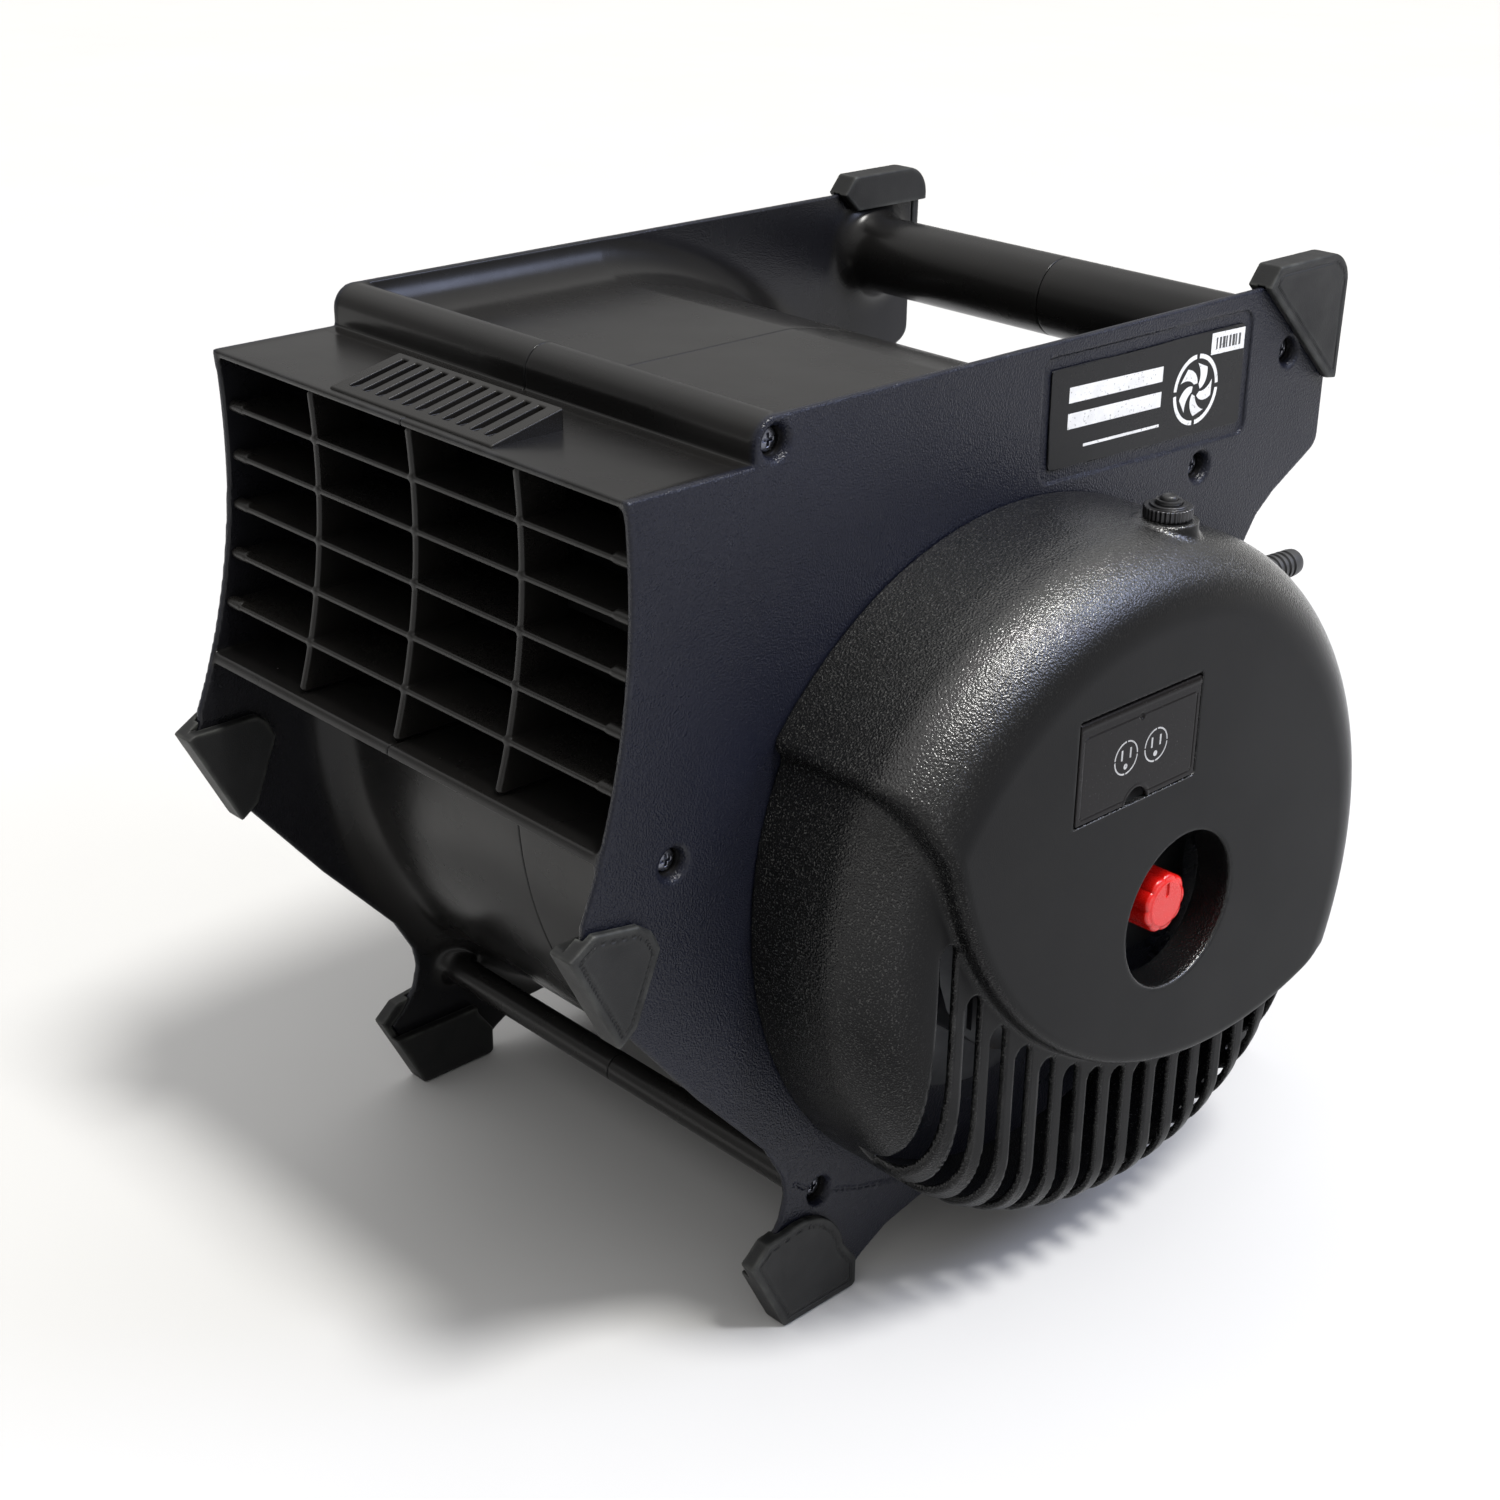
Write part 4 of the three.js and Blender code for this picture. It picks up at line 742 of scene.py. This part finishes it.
# ------------------------------------------------------------------ materials
class Paint:
    """A node tree being built for one material."""

    def __init__(self, name):
        self.material = bpy.data.materials.new(name)
        self.material.use_nodes = True
        self.tree = self.material.node_tree
        self.shader = self.tree.nodes["Principled BSDF"]
        self.where = self.tree.nodes.new("ShaderNodeTexCoord").outputs["Object"]

    def node(self, kind, **values):
        made = self.tree.nodes.new(kind)
        for key, value in values.items():
            setattr(made, key, value)
        return made

    def link(self, a, b):
        self.tree.links.new(a, b)

    def set(self, node, **values):
        for key, value in values.items():
            node.inputs[key.replace("_", " ")].default_value = value
        return node

    def noise(self, scale, detail=2.0, roughness=0.5, where=None):
        made = self.set(self.node("ShaderNodeTexNoise"), Scale=scale, Detail=detail, Roughness=roughness)
        self.link(where or self.where, made.inputs["Vector"])
        return made.outputs["Fac"]

    def cells(self, scale, smooth):
        made = self.set(self.node("ShaderNodeTexVoronoi", feature="SMOOTH_F1"), Scale=scale, Smoothness=smooth)
        self.link(self.where, made.inputs["Vector"])
        return made.outputs["Distance"]

    def mapped(self, **values):
        made = self.set(self.node("ShaderNodeMapping"), **values)
        self.link(self.where, made.inputs["Vector"])
        return made.outputs["Vector"]

    def parts(self, vector):
        made = self.node("ShaderNodeSeparateXYZ")
        self.link(vector, made.inputs[0])
        return made.outputs

    def spread(self, value, lo, hi, to_lo, to_hi):
        made = self.set(self.node("ShaderNodeMapRange"), From_Min=lo, From_Max=hi, To_Min=to_lo, To_Max=to_hi)
        self.link(value, made.inputs["Value"])
        return made.outputs["Result"]

    def math(self, operation, a, b):
        made = self.node("ShaderNodeMath", operation=operation)
        for socket, value in zip(made.inputs, (a, b)):
            if isinstance(value, (int, float)):
                socket.default_value = value
            else:
                self.link(value, socket)
        return made.outputs[0]

    def mix(self, factor, a, b):
        made = self.node("ShaderNodeMix", data_type="RGBA")
        self.link(factor, made.inputs["Factor"])
        for socket, value in ((made.inputs["A"], a), (made.inputs["B"], b)):
            if isinstance(value, tuple):
                socket.default_value = (*value, 1)
            else:
                self.link(value, socket)
        return made.outputs["Result"]

    def blend(self, factor, a, b):
        made = self.node("ShaderNodeMix", data_type="FLOAT")
        for socket, value in (("Factor", factor), ("A", a), ("B", b)):
            self.link(value, made.inputs[socket])
        return made.outputs["Result"]

    def bump(self, height, strength, distance):
        made = self.set(self.node("ShaderNodeBump"), Strength=strength, Distance=distance)
        self.link(height, made.inputs["Height"])
        return made.outputs["Normal"]

    def edges(self, lo=0.515, hi=0.57):
        """1 along edges that stand out, for wear."""
        made = self.node("ShaderNodeNewGeometry")
        return self.spread(made.outputs["Pointiness"], lo, hi, 0, 1)

    def facing(self, axis, lo, hi):
        """1 where the surface faces along an axis, by the object's own normal."""
        normal = self.node("ShaderNodeTexCoord").outputs["Normal"]
        return self.spread(self.parts(normal)[axis], lo, hi, 0, 1)

    def finish(self, colour, roughness, normal=None, **constants):
        self.link(colour, self.shader.inputs["Base Color"])
        self.link(roughness, self.shader.inputs["Roughness"])
        if normal is not None:
            self.link(normal, self.shader.inputs["Normal"])
        self.set(self.shader, **constants)
        return self.material


def shell_plastic():
    """Grained on the outer faces of the side plates, smooth and glossier on the scroll and tubes between them."""
    p = Paint("shell_plastic")
    across = p.math("ABSOLUTE", p.math("SUBTRACT", p.parts(p.where)["X"], OFFSET[0] / 1000), 0.0)
    outside = p.spread(across, 0.1165, 0.1185, 0, 1)
    coarse = p.noise(1400, 1.5, 0.55)
    pits = p.cells(1100, 0.5)
    grain = p.math("ADD", coarse, p.math("MULTIPLY", pits, 0.6))
    ripple = p.math("MULTIPLY", p.noise(45, 2), 0.5)
    height = p.blend(outside, ripple, grain)
    colour = p.mix(p.spread(p.noise(9, 3), 0.35, 0.65, 0, 1), (0.0052, 0.0060, 0.0115), (0.0080, 0.0090, 0.0165))
    smooth = p.mix(p.spread(p.noise(7, 3), 0.35, 0.65, 0, 1), (0.0062, 0.0060, 0.0060), (0.0095, 0.0090, 0.0086))
    colour = p.mix(outside, smooth, colour)
    # Painted glints: pale bluish specks in the base colour of the plates' outer faces stand in for light glinting off
    # the grain.
    painted_glint = p.math("MULTIPLY", p.spread(coarse, 0.64, 0.74, 0, 0.25), outside)
    colour = p.mix(painted_glint, colour, (0.045, 0.05, 0.066))
    scuff = p.math("MULTIPLY", p.edges(), p.spread(p.noise(60, 4), 0.5, 0.75, 0, 0.3))
    colour = p.mix(scuff, colour, (0.05, 0.052, 0.06))
    marks = p.spread(p.noise(24, 4, 0.6), 0.3, 0.7, -0.03, 0.05)
    rough = p.math("ADD", p.spread(outside, 0, 1, 0.25, 0.28), marks)
    return p.finish(colour, rough, p.bump(height, 0.8, 0.0004), Specular_IOR_Level=0.25)


def moulded(name, base, lift, rough, grain, height, wear=0.25, **constants):
    """Moulded plastic: grain in millimetres, drifting tint, scuffed edges."""
    p = Paint(name)
    fine = p.noise(1000 / grain, 2.0, 0.6)
    pits = p.cells(1000 / (grain * 1.35), 0.6)
    tint = p.spread(p.noise(9, 3), 0.35, 0.65, 0, 1)
    colour = p.mix(tint, base, lift)
    scuff = p.math("MULTIPLY", p.edges(), p.spread(p.noise(60, 4), 0.45, 0.7, 0, wear))
    colour = p.mix(scuff, colour, tuple(min(1, 3.2 * c + 0.02) for c in lift))
    smudge = p.spread(p.noise(26, 4, 0.6), 0.3, 0.7, rough - 0.05, rough + 0.06)
    roughness = p.math("ADD", smudge, p.spread(fine, 0.3, 0.7, -0.04, 0.05))
    relief = p.math("ADD", fine, p.math("MULTIPLY", pits, 0.6))
    normal = p.bump(relief, height, 0.00035)
    return p.finish(colour, roughness, normal, **constants)


def cover_plastic():
    """Coarse grain round the sides, with painted glints as pale specks in its colour, finer and smoother towards the
    flat face.
    """
    p = Paint("cover_plastic")
    face = p.facing("X", 0.80, 0.985)
    coarse = p.noise(1450, 1.5, 0.55)
    pits = p.cells(1100, 0.5)
    fine = p.noise(2400, 2)
    side = p.math("ADD", coarse, p.math("MULTIPLY", pits, 0.7))
    normal = p.bump(p.blend(face, side, p.math("MULTIPLY", fine, 0.22)), 0.8, 0.00033)
    tint = p.spread(p.noise(8, 3), 0.35, 0.65, 0, 1)
    colour = p.mix(tint, (0.0030, 0.0031, 0.0033), (0.0052, 0.0052, 0.0052))
    # The painted glints below are kept out of the knob's well and off the flat face.
    along = p.math("SUBTRACT", p.parts(p.where)["Y"], (KNOB_Y + OFFSET[1]) / 1000)
    above = p.math("SUBTRACT", p.parts(p.where)["Z"], KNOB_Z / 1000)
    away = p.math("ADD", p.math("MULTIPLY", along, along), p.math("MULTIPLY", above, above))
    outside = p.math("MULTIPLY", p.spread(away, 0.036 ** 2, 0.042 ** 2, 0, 1), p.spread(face, 0, 1, 1, 0))
    # Painted glints: pale specks in the base colour stand in for light glinting off the grain.
    painted_glint = p.math("MULTIPLY", p.spread(coarse, 0.58, 0.70, 0, 0.6), outside)
    colour = p.mix(painted_glint, colour, (0.075, 0.075, 0.072))
    scuff = p.math("MULTIPLY", p.edges(), p.spread(p.noise(60, 4), 0.5, 0.72, 0, 0.3))
    colour = p.mix(scuff, colour, (0.07, 0.07, 0.068))
    rough = p.math("ADD", p.spread(p.noise(22, 4, 0.6), 0.3, 0.7, 0.20, 0.27), p.math("MULTIPLY", face, 0.14))
    gloss = p.math("MULTIPLY", p.facing("Z", -0.15, 0.75), p.spread(face, 0, 1, 1, 0))
    p.link(gloss, p.shader.inputs["Coat Weight"])
    p.link(normal, p.shader.inputs["Coat Normal"])
    return p.finish(colour, rough, normal, Specular_IOR_Level=0.11, Coat_Roughness=0.24, Coat_IOR=1.6)


def metal(name, base, lift, rough, rust=0.0):
    """Plated or machined metal with fine streaks and a dull bloom."""
    p = Paint(name)
    lines = p.noise(300, 3, where=p.mapped(Scale=(1, 1, 60)))
    colour = p.mix(p.spread(p.noise(70, 4), 0.3, 0.7, 0, 1), base, lift)
    if rust:
        colour = p.mix(p.spread(p.noise(140, 5), 0.62, 0.75, 0, rust), colour, (0.12, 0.06, 0.03))
    colour = p.mix(p.math("MULTIPLY", p.edges(), 0.3), colour, tuple(min(1, 1.6 * c) for c in lift))
    rough_map = p.spread(lines, 0.3, 0.7, rough - 0.08, rough + 0.1)
    return p.finish(colour, rough_map, p.bump(lines, 0.12, 0.0001), Metallic=1.0)


def winding():
    """Lacquered wire laid round the coil."""
    p = Paint("wire")
    wave = p.set(p.node("ShaderNodeTexWave", wave_type="RINGS", rings_direction="X"),
                 Scale=620, Distortion=1.2, Detail=1)
    p.link(p.mapped(Location=(0, -OFFSET[1] / 1000, -AXIS_Z / 1000)), wave.inputs["Vector"])
    colour = p.mix(wave.outputs["Fac"], (0.16, 0.045, 0.015), (0.62, 0.25, 0.10))
    rough = p.spread(p.noise(200, 2), 0.3, 0.7, 0.25, 0.4)
    return p.finish(colour, rough, p.bump(wave.outputs["Fac"], 0.6, 0.0004), Metallic=1.0)


def laminations():
    """Thin steel sheets stacked along the shaft."""
    p = Paint("stacked_steel")
    wave = p.set(p.node("ShaderNodeTexWave", wave_type="BANDS", bands_direction="X"), Scale=640, Distortion=0.3)
    p.link(p.where, wave.inputs["Vector"])
    colour = p.mix(wave.outputs["Fac"], (0.06, 0.06, 0.065), (0.26, 0.27, 0.28))
    rough = p.spread(p.noise(300, 3), 0.3, 0.7, 0.35, 0.55)
    return p.finish(colour, rough, p.bump(wave.outputs["Fac"], 0.4, 0.0002), Metallic=1.0)


def printed(name, ink, worn):
    """Screen-printed ink with slight mottling and pinholes."""
    p = Paint(name)
    holes = p.spread(p.noise(900, 2), 0.30, 0.36, 1, 0)
    colour = p.mix(p.spread(p.noise(120, 3), 0.3, 0.7, 0, 1), ink, worn)
    colour = p.mix(p.math("MULTIPLY", holes, 0.6), colour, (0.05, 0.05, 0.05))
    rough = p.spread(p.noise(300, 2), 0.3, 0.7, 0.38, 0.5)
    return p.finish(colour, rough, p.bump(p.noise(1500, 1), 0.1, 0.0001))


def smoked():
    """Glossy dark plastic with faint hairline scratches and dust."""
    p = Paint("smoked_plastic")
    hair = p.noise(90, 4, where=p.mapped(Scale=(1, 40, 1), Rotation=(0.5, 0, 0)))
    dust = p.spread(p.noise(1600, 1), 0.7, 0.76, 0, 0.35)
    colour = p.mix(dust, p.mix(p.noise(12, 2), (0.005, 0.0045, 0.0045), (0.009, 0.008, 0.008)), (0.12, 0.12, 0.12))
    rough = p.spread(hair, 0.35, 0.7, 0.10, 0.24)
    return p.finish(colour, rough, p.bump(hair, 0.05, 0.0001), Specular_IOR_Level=0.11)


def rubber():
    """Dark rubber with a drifting bloom, paler where its edges are scuffed."""
    p = Paint("foot_rubber")
    grain = p.noise(1500, 3, 0.6)
    bloom = p.spread(p.noise(38, 5, 0.6), 0.4, 0.72, 0, 1)
    colour = p.mix(bloom, (0.0065, 0.0068, 0.0070), (0.0130, 0.0132, 0.0135))
    scuff = p.math("MULTIPLY", p.edges(0.5, 0.56), p.spread(p.noise(110, 4), 0.4, 0.65, 0.15, 0.7))
    colour = p.mix(scuff, colour, (0.075, 0.078, 0.072))
    rough = p.spread(p.noise(60, 4), 0.3, 0.7, 0.42, 0.6)
    return p.finish(colour, rough, p.bump(grain, 0.35, 0.0003), Specular_IOR_Level=0.3)


materials = {
    "plates": shell_plastic(),
    "smooth": moulded("inner_moulding", (0.0062, 0.0058, 0.0055), (0.0105, 0.0098, 0.009), 0.30, 0.6, 0.08, 0.3,
                      Specular_IOR_Level=0.26),
    "cover": cover_plastic(),
    "rubber": rubber(),
    "boot": moulded("boot_rubber", (0.02, 0.02, 0.021), (0.036, 0.036, 0.037), 0.45, 0.6, 0.15),
    "red": moulded("red_plastic", (0.55, 0.006, 0.004), (0.70, 0.016, 0.010), 0.26, 0.5, 0.05, 0.0,
                   Coat_Weight=0.15, Coat_Roughness=0.12, Subsurface_Weight=0.08, Subsurface_Scale=0.004),
    "smoked": smoked(),
    "fan": moulded("fan_plastic", (0.009, 0.009, 0.0095), (0.016, 0.016, 0.017), 0.36, 0.7, 0.15, 0.4),
    "steel": metal("plated_steel", (0.42, 0.43, 0.44), (0.60, 0.61, 0.62), 0.30),
    "sheet": metal("dull_sheet", (0.035, 0.036, 0.039), (0.075, 0.077, 0.08), 0.42, rust=0.2),
    "dark": metal("black_oxide", (0.035, 0.035, 0.037), (0.085, 0.085, 0.088), 0.36),
    "screw": metal("dark_zinc", (0.10, 0.105, 0.125), (0.20, 0.205, 0.235), 0.28),
    "wire": winding(),
    "core": laminations(),
    "badge": moulded("badge_foil", (0.004, 0.004, 0.0044), (0.007, 0.007, 0.0075), 0.30, 1.2, 0.04,
                     Specular_IOR_Level=0.2),
    "white": printed("white_ink", (0.80, 0.80, 0.79), (0.66, 0.66, 0.65)),
    "grey": printed("grey_ink", (0.42, 0.42, 0.42), (0.30, 0.30, 0.30)),
    "black_ink": printed("black_ink", (0.03, 0.03, 0.03), (0.06, 0.06, 0.06)),
}


def dress(thing, material):
    thing.data.materials.clear()
    thing.data.materials.append(materials[material])


def show(thing, body, slot, material, *replaced):
    dress(thing, material)
    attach(thing, body)
    if replaced:
        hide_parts(*replaced)


show(housing_right, "housing", "shell", "plates", "housing_right")
show(housing_left, "housing", "shell", "plates", "housing_left")
show(vent_pad, "housing", "shell", "smooth")
show(grille_mesh, "housing", "shell", "smooth", "outlet_grille")
show(cover_mesh, "housing", "cover", "cover", "motor_cover")
for node, thing in feet.items():
    show(thing, "housing", "rubber", "rubber", node)
show(knob_mesh, "knob", "red_knob", "red", "speed_knob")
show(door_mesh, "door", "smoked_door", "smoked", "receptacle_door")
show(door_marks, "door", "label", "grey")
show(nut_mesh, "housing", "black_nut", "dark", "breaker_nut")
show(thread_mesh, "housing", "inner_plastic", "dark")
show(button_mesh, "reset", "inner_plastic", "fan", "reset_button")
show(gland_mesh, "housing", "rubber", "boot", "cord_gland")
for node, thing in screw_meshes.items():
    show(thing, "housing", "zinc", "screw", node)
show(ring_mesh, "housing", "shell", "smooth", "intake_ring")
show(guard_mesh, "housing", "shell", "smooth", "intake_guard")
show(label_mesh, "housing", "label", "badge", "nameplate")
show(mark_mesh, "housing", "label", "white")
show(tag_mesh, "housing", "label", "white")
show(tag_lines, "housing", "label", "black_ink")

# Frame pieces kept in shape, with rounded edges: name, body, slot, material and edge radius.
REFINED = {
    "impeller": ("wheel", "fan", "inner_plastic", "fan", 0.25),
    "impeller_hub": ("hub", "fan", "zinc", "sheet", 0.5),
    "motor_shaft": ("shaft", "fan", "steel", "steel", 0.5),
    "receptacle": ("socket", "housing", "inner_plastic", "fan", 0.3),
    "motor_bell_fan_side": ("bell_a", "housing", "zinc", "sheet", 0.6),
    "motor_bell_cover_side": ("bell_b", "housing", "zinc", "sheet", 0.6),
    "control_panel": ("panel", "housing", "zinc", "sheet", 0.3),
    "speed_switch": ("switch", "housing", "inner_plastic", "fan", 0.3),
    "run_capacitor": ("capacitor", "housing", "inner_plastic", "fan", 1.5),
    "motor_mount_plate": ("mount", "housing", "zinc", "sheet", 0.3),
}
for node, (name, body, slot, material, width) in REFINED.items():
    show(from_node(node, name, width), body, slot, material, node)

CARRIED = {"rotor": "core", "stator": "core", "winding_fan_side": "wire", "winding_cover_side": "wire",
           "bearing_fan_side": "steel", "bearing_cover_side": "steel", "breaker_body": "fan", "door_pin": "steel"}
for i in range(1, 5):
    CARRIED[f"motor_mount_screw_{i}"] = CARRIED[f"cover_screw_{i}"] = "screw"
for node, material in CARRIED.items():
    dress(nodes[node], material)

# ------------------------------------------------------------------ floor, light, camera
bm = bmesh.new()
bmesh.ops.create_grid(bm, x_segments=40, y_segments=40, size=30)
floor = finished("floor", bm)
p = Paint("floor_paint")
pale = p.mix(p.noise(3, 3), (0.51, 0.51, 0.51), (0.54, 0.54, 0.54))
floor.data.materials.append(p.finish(pale, p.spread(p.noise(14, 3), 0.3, 0.7, 0.7, 0.85)))
floor.location.z = -0.0005

bpy.context.scene.view_settings.view_transform = "Standard"
world = bpy.data.worlds.new("studio")
bpy.context.scene.world = world
world.use_nodes = True
sky, links = world.node_tree.nodes, world.node_tree.links
heading, height, ceiling = (sky.new("ShaderNode" + kind) for kind in ("TexCoord", "SeparateXYZ", "MapRange"))
ceiling.interpolation_type = "SMOOTHSTEP"
for key, number in (("From Min", 0.30), ("From Max", 0.80), ("To Min", 0.42), ("To Max", 1.15)):
    ceiling.inputs[key].default_value = number
links.new(heading.outputs["Generated"], height.inputs[0])
links.new(height.outputs["Z"], ceiling.inputs["Value"])
links.new(ceiling.outputs["Result"], sky["Background"].inputs["Strength"])
sky["Background"].inputs["Color"].default_value = (1, 0.99, 0.975, 1)


def light(name, kind, place, target, energy, colour):
    """A lamp that shines from place towards target."""
    lamp = bpy.data.lights.new(name, kind)
    lamp.energy, lamp.color = energy, colour
    thing = bpy.data.objects.new(name, lamp)
    bpy.context.collection.objects.link(thing)
    thing.location = place
    thing.rotation_mode = "QUATERNION"
    thing.rotation_quaternion = (Vector(target) - Vector(place)).to_track_quat("-Z", "Y")
    return lamp


light("key", "SUN", (0.38, 0.08, 0.92), (0, 0, 0), 3.5, (1, 0.985, 0.95)).angle = rad(13)
side = light("side", "AREA", (1.25, 0.9, 1.35), (0.1, 0, 0.2), 16, (0.62, 0.7, 1))
side.shape, side.size, side.size_y = "RECTANGLE", 0.7, 0.7

# The camera was solved from the photograph: focal length 2338 in a frame 1500 wide.
camera_data = bpy.data.cameras.new("camera")
camera_data.sensor_width = 36
camera_data.lens = 2338 / 1500 * camera_data.sensor_width
camera_data.shift_x, camera_data.shift_y = -0.01413, -0.0068
camera_data.clip_start, camera_data.clip_end = 0.05, 60
camera = bpy.data.objects.new("camera", camera_data)
bpy.context.collection.objects.link(camera)
right = Vector((0.69120554, 0.72250693, 0.01478643))
down = Vector((0.30794775, -0.27597268, -0.91049836))
ahead = Vector((-0.65376072, 0.63389496, -0.41324823))
camera.matrix_world = Matrix((
    (right.x, -down.x, -ahead.x, 0.6140), (right.y, -down.y, -ahead.y, -0.6233),
    (right.z, -down.z, -ahead.z, 0.5845), (0, 0, 0, 1)))
bpy.context.scene.camera = camera
